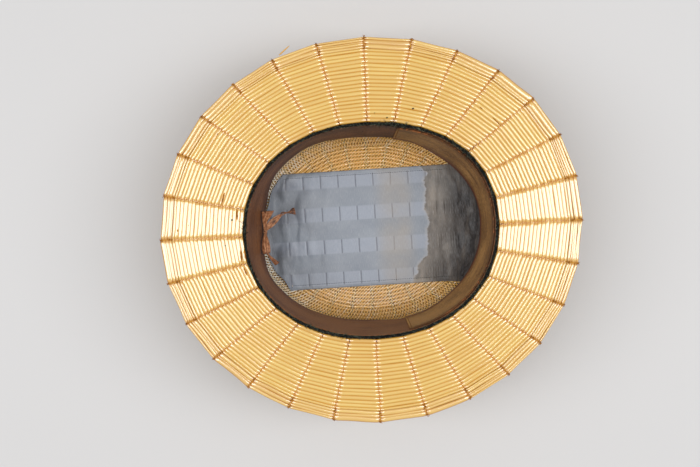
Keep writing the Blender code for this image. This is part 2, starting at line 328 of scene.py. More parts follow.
def straw_finish(name, outside, coat_roughness, half_height, inside=None):
    """Glossy golden straw: fine fibres along each strand, paler and deeper strands, painted shade towards the
    grooves between them and brown where it is stained. The side that faces into the crown can take other
    colours, which carry painted light and shade."""
    finish = Finish(name)
    lie = finish.attribute("lie", "Vector")
    fibres = finish.noise(lie, (60, 2400, 2400), detail=2)
    blotches = finish.noise(lie, (30, 120, 120), detail=2)
    shade = finish.vary(finish.attribute("tone"), fibres, 0.10)
    shade = finish.vary(shade, blotches, 0.14)
    height = finish.split(lie)[2]
    level = finish.maths("ABSOLUTE", height)
    # Painted shade: darker towards the grooves between strands, where shade falls
    groove_shading = finish.stretch(level, half_height * 0.25, half_height * 0.9, 1.0, 0.0, smooth=True)
    colour = straw_colour(finish, shade, groove_shading, *outside)
    # Painted light and shade: the side that faces into the crown takes other colours
    if inside:
        inner = finish.stretch(height, -0.2 * MM, 0.2 * MM)
        colour = finish.mix(inner, colour, straw_colour(finish, shade, groove_shading, *inside))
    finish.surface(
        Base_Color=finish.mix(finish.attribute("stain"), colour, srgb(132, 70, 24)),
        Roughness=finish.stretch(fibres, *NOISE_RANGE, 0.4, 0.5),
        Normal=finish.bump(fibres, 0.00003),
        IOR=BODY_GLOSS,
        Specular_IOR_Level=0.6,
        Specular_Tint=srgb(255, 222, 220),
        Coat_Weight=1.0,
        Coat_IOR=STRAW_GLOSS,
        Coat_Roughness=coat_roughness,
    )
    return finish.material


def thread_finish(name, dark, usual, light):
    finish = Finish(name)
    twist = finish.noise(finish.attribute("lie", "Vector"), (1500, 900, 900), detail=2)
    tone = finish.vary(finish.attribute("tone"), twist, 0.14)
    colour = finish.ramp(tone, (0.0, dark), (0.5, usual), (1.0, light))
    relief = finish.bump(twist, 0.0001)
    finish.surface(Base_Color=colour, Roughness=0.8, Normal=relief, Specular_IOR_Level=0.15)
    return finish.material


def cord_finish():
    finish = Finish("welt_cord")
    lie = finish.attribute("lie", "Vector")
    worn = finish.noise(lie, (120, 500, 500), detail=4, roughness=0.65)
    tone = finish.add(finish.attribute("tone"), finish.stretch(worn, 0.35, 0.72, -0.35, 0.45))
    black, usual = (0.25, srgb(9, 10, 10)), (0.6, srgb(30, 33, 31))
    rubbed, pale = (0.8, srgb(82, 88, 74)), (1.0, srgb(128, 134, 110))
    colour = finish.ramp(tone, black, usual, rubbed, pale)
    relief = finish.bump(finish.noise(lie, (900, 1400, 1400)), 0.0003)
    finish.surface(Base_Color=colour, Roughness=0.9, Normal=relief, Specular_IOR_Level=0.15)
    return finish.material


def leather_finish(name, dark, usual, light, roughness):
    """Worn leather: fine grain, long creases round the band, a rubbed top edge and a dark red hem."""
    finish = Finish(name)
    lie = finish.attribute("lie", "Vector")
    creases = finish.noise(lie, (22, 700, 1), detail=4, roughness=0.6)
    grain = finish.noise(lie, (2600, 2600, 1), detail=2)
    patches = finish.noise(lie, (26, 60, 1))
    cracks = finish.noise(lie, (300, 1500, 1), detail=4, roughness=0.7)
    mottle = finish.noise(lie, (420, 620, 1), detail=4, roughness=0.65)
    tone = finish.attribute("tone")
    for marks, amount in ((creases, 0.2), (patches, 0.3), (mottle, 0.3)):
        tone = finish.vary(tone, marks, amount)
    colour = finish.ramp(tone, (0.0, dark), (0.5, usual), (1.0, light))
    near_top = finish.stretch(finish.split(lie)[1], 2.4 * MM, 4.4 * MM, 1.0, 0.0)
    rubbed = finish.times(near_top, finish.stretch(cracks, 0.5, 0.58))
    rubbed = finish.times(rubbed, finish.stretch(patches, 0.44, 0.52))
    colour = finish.mix(finish.times(rubbed, 0.8), colour, srgb(160, 96, 52))
    colour = finish.mix(finish.stretch(cracks, 0.36, 0.28, 0.0, 0.5), colour, srgb(44, 26, 16))
    finish.surface(
        Base_Color=finish.mix(finish.attribute("stain"), colour, srgb(92, 34, 20)),
        Roughness=finish.stretch(grain, *NOISE_RANGE, roughness - 0.06, roughness + 0.08),
        Normal=finish.bump(creases, 0.0006, over=finish.bump(grain, 0.00008)),
        Specular_IOR_Level=0.22,
    )
    return finish.material


def net_finish():
    finish = Finish("net_thread")
    twist = finish.noise(finish.attribute("lie", "Vector"), (900, 1200, 1200), detail=2)
    tone = finish.vary(finish.attribute("tone"), twist, 0.2)
    brown, beige, white = srgb(200, 138, 68), srgb(255, 212, 124), srgb(255, 252, 240)
    finish.surface(Base_Color=finish.ramp(tone, (0.0, brown), (0.6, beige), (1.0, white)), Roughness=0.8)
    return finish.material


# Straw colours: pale, deep and the painted shade in the grooves between strands
GOLD = (srgb(233, 201, 106), srgb(212, 164, 62), srgb(203, 136, 32))
EDGE = (srgb(232, 197, 104), srgb(208, 156, 60), srgb(194, 124, 34))
# Sides that face into the crown, in painted light and shade: brighter tops and darker grooves on the tip,
# darker and greyer on the shaded wall
TIP_INSIDE_LIT_SHADED = (srgb(255, 208, 112), srgb(230, 170, 78), srgb(104, 56, 16))
WALL_INSIDE_SHADED = (srgb(160, 136, 110), srgb(126, 104, 82), srgb(54, 44, 35))
STRAW_GOLD = straw_finish("straw", GOLD, 0.08, STRAW / 2)
EDGE_GOLD = straw_finish("edge_straw", EDGE, 0.15, 0.8 * MM)
WALL_GOLD = straw_finish("crown_straw", GOLD, 0.21, STRAW / 2, inside=WALL_INSIDE_SHADED)
TIP_GOLD = straw_finish("tip_straw", GOLD, 0.21, STRAW / 2, inside=TIP_INSIDE_LIT_SHADED)
THREAD = thread_finish("tie_thread", srgb(80, 46, 18), srgb(166, 106, 26), srgb(216, 160, 50))
# Painted highlight: the tip's tie thread is pale cream, standing in for glints on the pinched straws beside
# the ties
TIP_GLINT_THREAD = thread_finish("tie_thread_painted_glints", srgb(180, 130, 70), srgb(252, 224, 156), srgb(255, 250, 216))
CORD = cord_finish()
DARK_LEATHER = leather_finish("dark_leather", srgb(62, 38, 24), srgb(110, 72, 48), srgb(140, 96, 62), 0.5)
TAN_LEATHER = leather_finish("tan_leather", srgb(80, 52, 26), srgb(122, 86, 44), srgb(176, 132, 76), 0.46)
NET_THREAD = net_finish()


# Places on the straw walls, by polar angle and by how far along the wall

WALL_LENGTH = CROWN_RIM - CROWN_CORNER
CORNER_RADIUS = CROWN_CORNER - STRAW / 2
CORNER_LENGTH = CORNER_RADIUS * math.pi / 2
TIP_LENGTH = OPENING_HALF[1] - CROWN_TAPER - CROWN_CORNER + STRAW
CROWN_LENGTH = WALL_LENGTH + CORNER_LENGTH + TIP_LENGTH
SPINE = 0.16  # half length of the line on which the tip's rows close, as a share of the tip's half length


def brim_place(angle, share):
    """A point in the middle of the brim's thickness, from 0 at the opening to 1 at the edge."""
    inner = oval_radius(OPENING_HALF, angle)
    outer = oval_radius(BRIM_HALF, angle, BRIM_FULLNESS)
    return polar(inner + share * (outer - inner), angle, HAT_HEIGHT - STRAW / 2)


def crown_half(z, inset):
    """Half sizes of the crown's outline at a height, that far inside its outer face."""
    shrink = STRAW - inset - CROWN_TAPER * (1 - z / CROWN_RIM)
    return OPENING_HALF[0] + shrink, OPENING_HALF[1] + shrink


def crown_place(angle, share):
    """A point in the middle of the crown's straw wall, from 0 at its rim to 1 in the middle of the tip."""
    run = share * CROWN_LENGTH
    if run < WALL_LENGTH:
        z = CROWN_RIM - run
        return ring_point(crown_half(z, STRAW / 2), angle, z)
    if run < WALL_LENGTH + CORNER_LENGTH:
        turn = (run - WALL_LENGTH) / CORNER_RADIUS
        z = CROWN_CORNER - CORNER_RADIUS * math.sin(turn)
        return ring_point(crown_half(z, CROWN_CORNER - CORNER_RADIUS * math.cos(turn)), angle, z)
    z = STRAW / 2
    rim = ring_point(crown_half(z, CROWN_CORNER), angle, z)
    spine = np.array([rim[0] * SPINE, 0.0, z])
    return rim + (spine - rim) * min(1.0, (run - WALL_LENGTH - CORNER_LENGTH) / TIP_LENGTH)


def wall_face(place, angle, share):
    """The direction out of a straw wall, square to its slope and to its way round."""
    step = 0.004
    down = place(angle, min(1.0, share + step)) - place(angle, max(0.0, share - step))
    around = place(angle - step, share) - place(angle + step, share)
    return unit(np.cross(down, around))


# Rows of straw

ROW_UNEVENNESS = 0.09  # how much the rows differ in width, as a share of it
TIE_UNEVENNESS = 0.03  # and how much a row's width differs from tie to tie
ROW_SWAY = 0.55 * MM
ROW_ALTERNATE = 0.22 * MM  # rows take turns to meet a tie before and after its line
NEAR_TIE = np.array([0.0, 0.6, 1.2, 1.8, 2.5, 3.5]) * MM  # where a straw's shape is set beside a tie
NEAR_TIE_COARSE = np.array([0.0, 0.8, 1.6, 2.6]) * MM
LONG_CELL = 12 * MM
PINCH_REACH = 1.36 * MM
COARSE_PINCH_REACH = 1.4 * MM
PINCH_DEPTH = 0.52


def row_lines(place, rows, to_share, length):
    """Where each row meets each tie, which way the wall faces there and how wide the row is."""
    usual = 1 + ROW_UNEVENNESS * np.clip(np.random.default_rng(7).normal(size=rows), -1.8, 1.8)
    widths = usual * (1 + TIE_UNEVENNESS * np.random.default_rng(9).normal(size=(TIES, rows)))
    widths *= to_share / widths.sum(axis=1, keepdims=True)
    middles = np.cumsum(widths, axis=1) - widths / 2
    points = np.zeros((rows, TIES, 3))
    faces = np.zeros((rows, TIES, 3))
    for k, angle in enumerate(TIE_ANGLES):
        for i, share in enumerate(middles[k]):
            way = unit(place(angle - 0.02, share) - place(angle + 0.02, share))
            sway = noise.noise((k * 9.1, i * 0.21, length * 50)) * ROW_SWAY
            alternate = ROW_ALTERNATE if i % 2 else -ROW_ALTERNATE
            points[i, k] = place(angle, share) + way * (sway + alternate)
            faces[i, k] = wall_face(place, angle, share)
    return points, faces, widths.T * length


def straw_stops(length, coarse):
    """How far along a straw its shape is set between two ties: closely beside them, seldom in the middle."""
    near = NEAR_TIE_COARSE if coarse else NEAR_TIE
    near = near[near < length * 0.4]
    middle = np.array([0.3, 0.5, 0.7] if length > LONG_CELL else [0.5]) * length
    return np.concatenate([near, middle, length - near[:0:-1]])


def straw_cell(ends, faces, widths, depths, pinched, tone, rng, coarse):
    """One straw from a tie to the next: its centres, sides, ups, half widths, half heights and tones."""
    here, there = ends
    length = np.linalg.norm(there - here)
    way = (there - here) / length
    face = unit(faces[0] + faces[1])
    side = unit(np.cross(face, way))
    bow = rng.normal() * 0.10 * MM
    lift = abs(rng.normal()) * 0.08 * MM
    tone = tone + rng.normal() * 0.06
    height = STRAW * min(1.0, 0.97 + 0.04 * rng.normal()) / 2
    runs = straw_stops(length, coarse)
    share = runs / length
    squeeze = np.zeros(len(runs))
    for is_tied, gap in zip(pinched, (runs, length - runs)):
        if is_tied:
            squeeze = np.maximum(squeeze, bell(gap, COARSE_PINCH_REACH if coarse else PINCH_REACH))
    curve = (side * bow + face * lift) * np.sin(math.pi * share)[:, None]
    width = widths[0] + (widths[1] - widths[0]) * share
    depth = np.where(share < 0.5, *depths)
    return (
        here + way * runs[:, None] + curve,
        np.tile(side, (len(runs), 1)),
        np.tile(face, (len(runs), 1)),
        width / 2 * (1.20 - 0.08 * squeeze),
        height * (1 - depth * squeeze),
        np.full(len(runs), tone),
    )


def lay_row(pile, corners, faces, widths, pinched, tone, rng, coarse=False):
    """One closed ring of straw through its tie points, squeezed thin at the pinched ones."""
    depths = PINCH_DEPTH * rng.uniform(0.6, 1.15, TIES)
    cells = []
    for k in range(TIES):
        pair = [k, (k + 1) % TIES]
        facts = (values[pair] for values in (corners, faces, widths, depths, pinched))
        cells.append(straw_cell(*facts, tone, rng, coarse))
    centres, sides, ups, half_widths, half_heights, tones = (np.concatenate(part) for part in zip(*cells))
    sides = unit(sides + np.roll(sides, 1, axis=0))
    count = 6 if coarse else 8
    seed = rng.uniform(0, 9)
    pile.sweep(centres, sides, ups, half_widths, half_heights, count, closed=True, tone=tones, seed=seed)


# Ties that hold the rows

TIE_HEIGHT = 0.8 * MM
TIE_ASIDE = 0.6 * MM
TIE_THREAD = 0.36 * MM
TIP_TIE_THREAD = 0.58 * MM
TIE_OVERHANG = 2.8 * MM  # how far the ends of a tie run on for each row that they overhang


def between(places, table):
    """The rows of a table at places between its row numbers."""
    numbers = np.arange(len(table))
    return np.stack([np.interp(places, numbers, column) for column in table.T], axis=1)


def twine(pile, points, faces, rng, tones, steps=4, overhang=0.0, thread=TIE_THREAD):
    """Two threads that twist round each other, passing over one straw and under the next by turns."""
    last = len(points) - 1
    place = np.linspace(-overhang, last + overhang, round((last + 2 * overhang) * steps) + 1)
    inside = np.clip(place, 0, last)
    ways = unit(np.gradient(points, axis=0))
    ends = np.where(place[:, None] < 0, ways[0], ways[-1])
    middle = between(inside, points) + (place - inside)[:, None] * ends * TIE_OVERHANG
    face = unit(between(inside, faces))
    across = unit(np.cross(face, between(inside, ways)))
    tone = np.clip(np.interp(inside, np.arange(last + 1), tones), 0, 1)
    radius = thread * (0.8 + 0.2 * np.cos(math.tau * place))
    for strand in (0, 1):
        turn = math.pi * (place + strand)[:, None]
        aside = np.sin(turn) * TIE_ASIDE + rng.normal(size=(len(place), 1)) * 0.05 * MM
        line = middle + face * np.cos(turn) * TIE_HEIGHT + across * aside
        pile.strand(line, radius, tone=tone, seed=rng.uniform(0, 9))


def tie_tones(rows, rng, dark_start, dark_end):
    """How pale a tie's thread is at each row: a little different at each, dark where it is fastened off."""
    number = np.arange(rows)
    usual = 0.66 + 0.08 * rng.normal()
    spells = np.array([noise.noise((x * 0.3, rng.uniform(0, 50), 0)) for x in number])
    start = np.clip(1 - number / dark_start, 0, 1)
    end = np.clip(1 - (rows - 1 - number) / dark_end, 0, 1)
    return usual + 0.10 * spells - 0.75 * start - 0.2 * end


BRIM_ROWS = 22
CROWN_PITCH = 3.1 * MM
DARK_STARTS = (1.2, 1.6, 2.4, 5.0)  # rows over which a brim tie is dark at the opening, and how often
DARK_START_SHARES = (0.4, 0.3, 0.2, 0.1)
# How far into the tip each tie runs, as a share of the tip's rows: every fourth tie furthest
TIP_REACHES = np.tile((0.97, 0.55, 0.8, 0.55), TIES // 4)


def make_brim_straw():
    rng = np.random.default_rng(11)
    points, faces, widths = row_lines(brim_place, BRIM_ROWS, 1.0, BRIM_REACH)
    faces = -faces
    pile = Pile()
    for i in range(BRIM_ROWS):
        tone = 0.5 + 0.07 * rng.normal() - (0.35 if i == 0 else 0.0)
        lay_row(pile, points[i], faces[i], widths[i], np.full(TIES, True), tone, rng)
    pile.build("brim_straws", STRAW_GOLD, "straw", ["brim"])
    ties = Pile()
    for k in range(TIES):
        tones = tie_tones(BRIM_ROWS, rng, rng.choice(DARK_STARTS, p=DARK_START_SHARES), 1.5)
        twine(ties, points[:, k], faces[:, k], rng, tones, overhang=0.4)
    ties.build("brim_ties", THREAD, "straw")


def make_crown_straw():
    rng = np.random.default_rng(12)
    rows = round(CROWN_LENGTH / CROWN_PITCH)
    last_share = 1.0 - 0.5 * CROWN_PITCH / CROWN_LENGTH
    points, faces, widths = row_lines(crown_place, rows, last_share, CROWN_LENGTH)
    side_rows = round((WALL_LENGTH + CORNER_LENGTH) / CROWN_PITCH)
    tip_rows = rows - side_rows
    pile, tip_pile = Pile(), Pile()
    for i in range(rows):
        pinched = (i - side_rows) / tip_rows < TIP_REACHES
        tone = 0.5 + 0.08 * rng.normal()
        target = pile if i < side_rows else tip_pile
        lay_row(target, points[i], faces[i], widths[i], pinched, tone, rng, coarse=True)
    pile.build("crown_straws", WALL_GOLD, "straw", ["crown"])
    tip_pile.build("tip_straws", TIP_GOLD, "straw")
    ties, tip_ties = Pile(), Pile()
    for k, reach in enumerate(TIP_REACHES):
        last = side_rows + int(tip_rows * reach)
        tones = tie_tones(last, rng, 0.5, 0.5) + 0.1
        wall, tip = slice(0, side_rows + 1), slice(side_rows, last)
        twine(ties, points[wall, k], faces[wall, k], rng, tones[wall], steps=3)
        twine(tip_ties, points[tip, k], faces[tip, k], rng, tones[tip], steps=3, thread=TIP_TIE_THREAD)
    ties.build("crown_ties", THREAD, "straw")
    # The tip's ties use the pale thread whose colour is a painted highlight
    tip_ties.build("tip_ties", TIP_GLINT_THREAD, "straw")


make_brim_straw()
make_crown_straw()


# The bound edge of the brim

EDGE_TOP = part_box("brim_edge")[1].z
FACING_WIDTH = 8.6 * MM
FACING_RUNS = np.array([0.0, 0.7, 1.4, 2.4, 4.0]) * MM
# The long thread of an edge stitch in millimetres: how far in from the edge, and how far below its top
STITCH_PLACES = np.array([-0.5, 0.1, 1.4, 2.6, 3.8, 5.0, 6.2, 7.4, 8.2, 8.8])
STITCH_DROPS = np.array([1.9, 0.5, 0.25, 0.4, 0.25, 0.4, 0.25, 0.2, 0.8, 1.6])
STITCH_TONES = ((0, 1.5, 3, 5.5, 7, 8.8), (0.3, 0.6, 0.9, 0.95, 0.6, 0.6))  # by how far in
# The short strokes at both of its ends: how far in, half length in millimetres and number
STITCH_STROKES = ((0.3, 1.25, 3), (7.4, 0.9, 2))


def facing_strip(pile, ends, near, far, rng):
    """One split straw of the bound edge, from tie to tie. Its ends go down under the stitches."""
    start, stop = (end[0] + (end[1] - end[0]) * (near + far) / 2 for end in ends)
    way = unit(stop - start)
    side = unit(np.cross(UP, way))
    length = np.linalg.norm(stop - start)
    middle = length * np.array([0.3, 0.45, 0.6, 0.72])
    runs = np.concatenate([FACING_RUNS, middle, length - FACING_RUNS[::-1]])
    squeeze = bell(np.minimum(runs, length - runs), 1.5 * MM)
    half = FACING_WIDTH * (far - near) / 2 * (1.24 - 0.14 * squeeze)
    taper = np.interp(runs, [0, length], rng.uniform(0.82, 1.12, 2))
    sway = np.array([noise.noise((x * 55, near * 31, start[0] * 40)) for x in runs]) * 0.35 * MM
    bow = rng.normal() * 0.16 * MM * np.sin(math.pi * runs / length)
    centres = start + way * runs[:, None] + side * (sway + bow)[:, None]
    centres[:, 2] = HAT_HEIGHT + (0.42 - 0.30 * squeeze) * MM
    pile.sweep(
        centres,
        np.broadcast_to(side, centres.shape),
        np.broadcast_to(UP, centres.shape),
        half * taper,
        (0.80 - 0.42 * squeeze) * MM,
        tone=0.55 + 0.09 * rng.normal(),
        stain=max(0.0, rng.normal() * 0.06 - 0.02),
        seed=rng.uniform(0, 9),
    )


def make_edge_stitch(pile, angle, rng):
    """The stitch that binds the edge at a tie: a thread across it, strokes at both of its ends and, on most,
    a loose end that stands off the edge."""
    out = polar(1, angle)
    way = np.cross(out, UP)
    edge = brim_place(angle, 1.0)
    line = edge - out * STITCH_PLACES[:, None] * MM + way * rng.normal(size=(10, 1)) * 0.18 * MM
    line[:, 2] = EDGE_TOP - STITCH_DROPS * MM
    tone = np.interp(STITCH_PLACES, *STITCH_TONES)
    pile.strand(line, 0.27 * MM, corners=6, tone=tone, seed=angle)
    for place, spread, strokes in STITCH_STROKES:
        for _ in range(strokes):
            lean = rng.normal() * 0.6
            size = spread * rng.uniform(0.5, 1.2) * MM
            steps = np.linspace(-1, 1, 5)[:, None]
            line = edge - out * (place + rng.normal() * 0.5) * MM + way * rng.normal() * 0.3 * MM
            line = line + (way + out * lean) * steps * size
            line[:, 2] = EDGE_TOP + (0.05 - 0.9 * steps[:, 0] ** 2) * MM
            radii = np.array([0.1, 0.2, 0.26, 0.2, 0.1]) * MM
            pile.strand(line, radii, tone=rng.uniform(0.2, 0.6), seed=angle)
    if rng.uniform() < 0.6:
        steps = np.linspace(0, 1, 4)[:, None]
        line = edge + out * steps * rng.uniform(0.7, 1.6) * MM + way * steps * rng.normal() * 0.9 * MM
        line[:, 2] = HAT_HEIGHT + rng.uniform(-0.8, 0.4) * MM
        pile.strand(line, np.array([0.3, 0.28, 0.22, 0.1]) * MM, tone=0.1, seed=angle)


def make_edge():
    rng = np.random.default_rng(21)
    shares = (1 - FACING_WIDTH / BRIM_REACH, 1.0)
    pile, stitches = Pile(), Pile()
    for k in range(TIES):
        cuts = np.cumsum(rng.uniform(0.6, 1.4, rng.choice([3, 4, 5])))
        cuts = np.concatenate([[0], cuts / cuts[-1]])
        angles = TIE_ANGLES[k], TIE_ANGLES[(k + 1) % TIES]
        ends = [[brim_place(angle, share) for share in shares] for angle in angles]
        for near, far in zip(cuts, cuts[1:]):
            facing_strip(pile, ends, near, far, rng)
    pile.build("edge_straws", EDGE_GOLD, "edge_straw", ["brim_edge"])
    for angle in TIE_ANGLES:
        make_edge_stitch(stitches, angle, rng)
    stitches.build("edge_stitches", THREAD, "edge_straw")


make_edge()


# The cord round the opening

WELT_POINTS = 1100
WELT_TURNS = 118
WELT_INSET = 1.9 * MM
WELT_TWIST = 0.42 * MM  # from the cord's middle to the middle of each of its two strands
WELT_STRAND = 0.84 * MM
WELT_FIBRES = 3400  # loose fibres all round, besides those of the frayed spells
# Where the cord is frayed, in degrees from the front
FRAYED_SPELLS = ((69, 84), (33, 46), (-30, -19), (-42, -38), (-127, -104), (173, 180))


def fluff(pile, place, out, rng, size, tone):
    """One loose fibre of the cord."""
    start = place + out * rng.uniform(-1.2, 1.2) * MM + UP * rng.uniform(0.0, 0.9) * MM
    way = out * rng.normal() + UP * abs(rng.normal()) * 0.6 + np.cross(UP, out) * rng.normal()
    steps = np.linspace(0, 1, 3)[:, None]
    fibre = start + unit(way) * steps * (0.4 + abs(rng.normal()) * size) * MM - UP * steps**2 * 0.2 * MM
    pile.strand(fibre, np.array([0.19, 0.15, 0.05]) * MM, corners=4, tone=tone)


def cord_strand(pile, line, out, strand):
    """One of the two strands that twist round the cord's middle line."""
    steps = np.arange(WELT_POINTS)
    turn = steps / WELT_POINTS * math.tau * WELT_TURNS + math.pi * strand
    sway = np.array([noise.noise((x * 0.05, strand, 3.1)) for x in steps]) * 0.3 * MM
    swell = np.array([noise.noise((x * 0.2, strand, 8.0)) for x in steps])
    radius = WELT_STRAND * (1 + 0.2 * swell)
    centres = line + out * (np.cos(turn) * WELT_TWIST + sway)[:, None]
    centres += UP * (np.sin(turn) * WELT_TWIST)[:, None]
    ups = unit(np.cross(out, ring_ways(centres)))
    pile.sweep(centres, out, ups, radius, radius, corners=6, closed=True, tone=0.4, seed=strand * 3.0)


def make_welt():
    rng = np.random.default_rng(31)
    angles = equal_angles(WELT_POINTS)
    out = np.stack([np.cos(angles), np.sin(angles), np.zeros(WELT_POINTS)], axis=1)
    radius = oval_radius((OPENING_HALF[0] - WELT_INSET, OPENING_HALF[1] - WELT_INSET), angles)
    line = radius[:, None] * out + UP * (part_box("welt")[0].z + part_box("welt")[1].z) / 2
    pile = Pile()
    cord_strand(pile, line, out, 0)
    cord_strand(pile, line, out, 1)
    spell = np.degrees(np.arctan2(out[:, 1], out[:, 0]))
    for start, end in FRAYED_SPELLS:
        where = np.flatnonzero((spell > start) & (spell < end))
        for i in rng.choice(where, 14 * round(len(where) ** 0.75)):
            fluff(pile, line[i], out[i], rng, 1.7, rng.choice([0.3, 0.5, 0.7, 0.9]))
    for _ in range(WELT_FIBRES):
        i = rng.integers(WELT_POINTS)
        fluff(pile, line[i], out[i], rng, 0.75, rng.choice([0.2, 0.85, 1.0]))
    pile.build("welt_cord", CORD, "welt_cloth", ["welt"])


make_welt()


# Leather sweatband

BAND_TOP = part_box("sweatband")[1].z
BAND_DEPTH = 45.0 * MM
BAND_CURVE = 1.25
BAND_INSET = 1.9 * MM
BAND_LEATHER = 1.2 * MM
BAND_COLUMNS = 224
FRONT_LEATHER = 1.0 * MM
FRONT_COLUMNS = 130
FRONT_FROM = math.radians(-70)
FRONT_TO = math.radians(73.5)
FRONT_START = 1.2 * MM  # below the band's top
FRONT_DEPTH = 41.8 * MM
# How far the lower edge leans in where it leans most and least: degrees from the front, millimetres
BAND_LEANS = (
    (-180, 9.7), (-155, 4.9), (-92, 6.9), (-64, 4.3), (-36, 5.8), (0, 5.2), (43, 9.6),
    (66, 6.6), (88, 6.4), (126, 3.4), (146, 4.2), (168, 9.7), (180, 9.7),
)


def band_lean(angle):
    degrees = math.degrees(math.remainder(angle, math.tau))
    for (near, near_lean), (far, far_lean) in zip(BAND_LEANS, BAND_LEANS[1:]):
        if degrees <= far:
            break
    share = (degrees - near) / (far - near)
    return (near_lean + (far_lean - near_lean) * share * share * (3 - 2 * share)) * MM


def band_place(angle, depth, inset):
    half = (OPENING_HALF[0] - BAND_INSET - inset, OPENING_HALF[1] - BAND_INSET - inset)
    lean = band_lean(angle) * (depth / BAND_DEPTH) ** BAND_CURVE
    return ring_point(half, angle, BAND_TOP - depth) - polar(lean, angle)


def band_grid(angles, depths, inset, ripple):
    """Places on the band that far inside its outer face, with ripples that only go inwards from there."""
    grid = np.zeros((len(angles), len(depths), 3))
    for i, angle in enumerate(angles):
        for j, depth in enumerate(depths):
            place = band_place(angle, depth, inset)
            wave = noise.noise((place[0] * 55, place[1] * 55, depth * 30)) * ripple
            wave += noise.noise((place[0] * 160, place[1] * 160, depth * 45)) * ripple * 0.3
            grid[i, j] = place + polar(min(0.0, wave), angle)
    lies = np.zeros_like(grid)
    lies[..., 0] = run_along(grid[:, 0])[:, None]
    lies[..., 1] = depths
    return grid, lies


def make_band():
    depths = np.concatenate([np.linspace(0, 0.92, 14), [0.95, 0.98, 1.0]]) * BAND_DEPTH
    angles = equal_angles(BAND_COLUMNS)
    grid, lies = band_grid(angles, depths, BAND_LEATHER / 2, 0.5 * MM)
    hem = ramp_up(depths, BAND_DEPTH * 0.93, BAND_DEPTH)
    # Painted light and shade: lighter on the -y side, whose face turns towards +y and catches more light,
    # darker on the +y side, and a painted highlight across the middle of the depth. It is also darker towards
    # the hem.
    pale = 0.4 * np.clip(-np.sin(angles), 0, 1) - 0.26 * np.clip(np.sin(angles), 0, 1)
    tone = 0.42 + 0.18 * np.sin(math.pi * depths / BAND_DEPTH) - 0.35 * hem + pale[:, None]
    pile = Pile()
    pile.shell(grid[::-1], BAND_LEATHER * (1 - 0.35 * hem), lies[::-1], joined=True, tone=tone[::-1])
    pile.build("sweatband_leather", DARK_LEATHER, "dark_leather", ["sweatband"])


def make_front_piece():
    depths = FRONT_START + np.concatenate([np.linspace(0, 0.9, 14), [0.94, 0.97, 1.0]]) * FRONT_DEPTH
    angles = np.linspace(FRONT_FROM, FRONT_TO, FRONT_COLUMNS)
    grid, lies = band_grid(angles, depths, BAND_LEATHER + 0.45 * MM + FRONT_LEATHER / 2, 0.35 * MM)
    low = ramp_up(depths, 39.5 * MM, 43.0 * MM)
    # Painted light and shade: a painted shadow along the top edge under the cord, lighter on the -y side
    # where the face catches more light, and a painted highlight across the middle of the depth
    top = 1 - ramp_up(depths, FRONT_START, FRONT_START + 1.0 * MM)
    pale = 0.4 * np.clip(-np.sin(angles), 0, 1)
    tone = 0.36 + 0.3 * np.sin(math.pi * depths / BAND_DEPTH) - 0.7 * top + pale[:, None]
    stain = np.clip((depths / MM - 38.4) / 1.2, 0, 0.75)
    pile = Pile()
    pile.shell(grid, FRONT_LEATHER * (1 - 0.3 * low), lies, tone=tone, stain=stain)
    pile.build("sweatband_front_leather", TAN_LEATHER, "tan_leather", ["sweatband_front"])
    return angles, grid


def make_front_seams(angles, grid):
    """A row of stitches down each end of the front piece."""
    seams = Pile()
    for column in (1, len(angles) - 2):
        inward = -polar(1, angles[column])
        surface = grid[column] + inward * (FRONT_LEATHER / 2 + 0.12 * MM)
        for here, there in zip(surface[1:-4], surface[2:-3]):
            line = here + (there - here) * np.array([0.1, 0.4, 0.7])[:, None]
            line[1] += inward * 0.15 * MM
            seams.strand(line, 0.22 * MM, face=inward, tone=0.12)
    seams.build("sweatband_seams", THREAD, "tan_leather")


make_band()
front_angles, front_grid = make_front_piece()
make_front_seams(front_angles, front_grid)


# Wear on the brim

WEAR_HEIGHT = HAT_HEIGHT - 0.3 * MM
# Broken or stained straws: start and end on the top of the brim and half width, in millimetres
STREAKS = (
    (-133.7, 83.5, -144.9, 66.1, 0.5),
    (-112.5, 33.9, -115.4, 24.9, 0.75),
    (-103.3, 20.3, -103.6, 12.5, 0.85),
    (-101.8, -11.3, -101.4, -20.3, 0.75),
    (-99.1, -11.0, -97.9, -19.6, 0.7),
    (-100.0, -25.0, -97.6, -31.3, 0.7),
    (131.5, 93.1, 136.3, 85.1, 0.55),
    (97.6, 84.6, 103.9, 77.8, 0.5),
    (88.1, 93.1, 90.2, 91.4, 0.45),
    (-150.3, 6.9, -150.3, 5.1, 0.5),
    (-141.5, 10.4, -141.4, 8.8, 0.5),
)
STREAK_WIDTHS = np.array([0.5, 1, 0.8, 1, 0.7, 0.5])
STREAK_TONES = np.array([0.7, 0.4, 0.55, 0.3, 0.5, 0.7])
# A pale sliver that stands off the edge: its start and end, and how thick it is along its length
SLIVER = (-66.0, 138.6, -57.6, 145.7)
SLIVER_WIDTHS = np.array([0.3, 0.5, 0.5, 0.45, 0.35, 0.2])
# Specks of dark fluff: where they lie and their radius, in millimetres
SPECKS = (
    (-105.2, 59.4, 0.5), (-116.2, 79.7, 0.45), (-107.7, 12.7, 0.75), (-113.7, -7.2, 0.5),
    (6.3, 91.6, 0.4), (15.8, 87.6, 0.6), (36.2, 93.8, 0.75),
)


def wear_line(x0, y0, x1, y1):
    """Six points on the top of the brim, from one place to another in millimetres."""
    line = np.linspace((x0, y0, 0), (x1, y1, 0), 6) * MM
    line[:, 2] = WEAR_HEIGHT
    return line


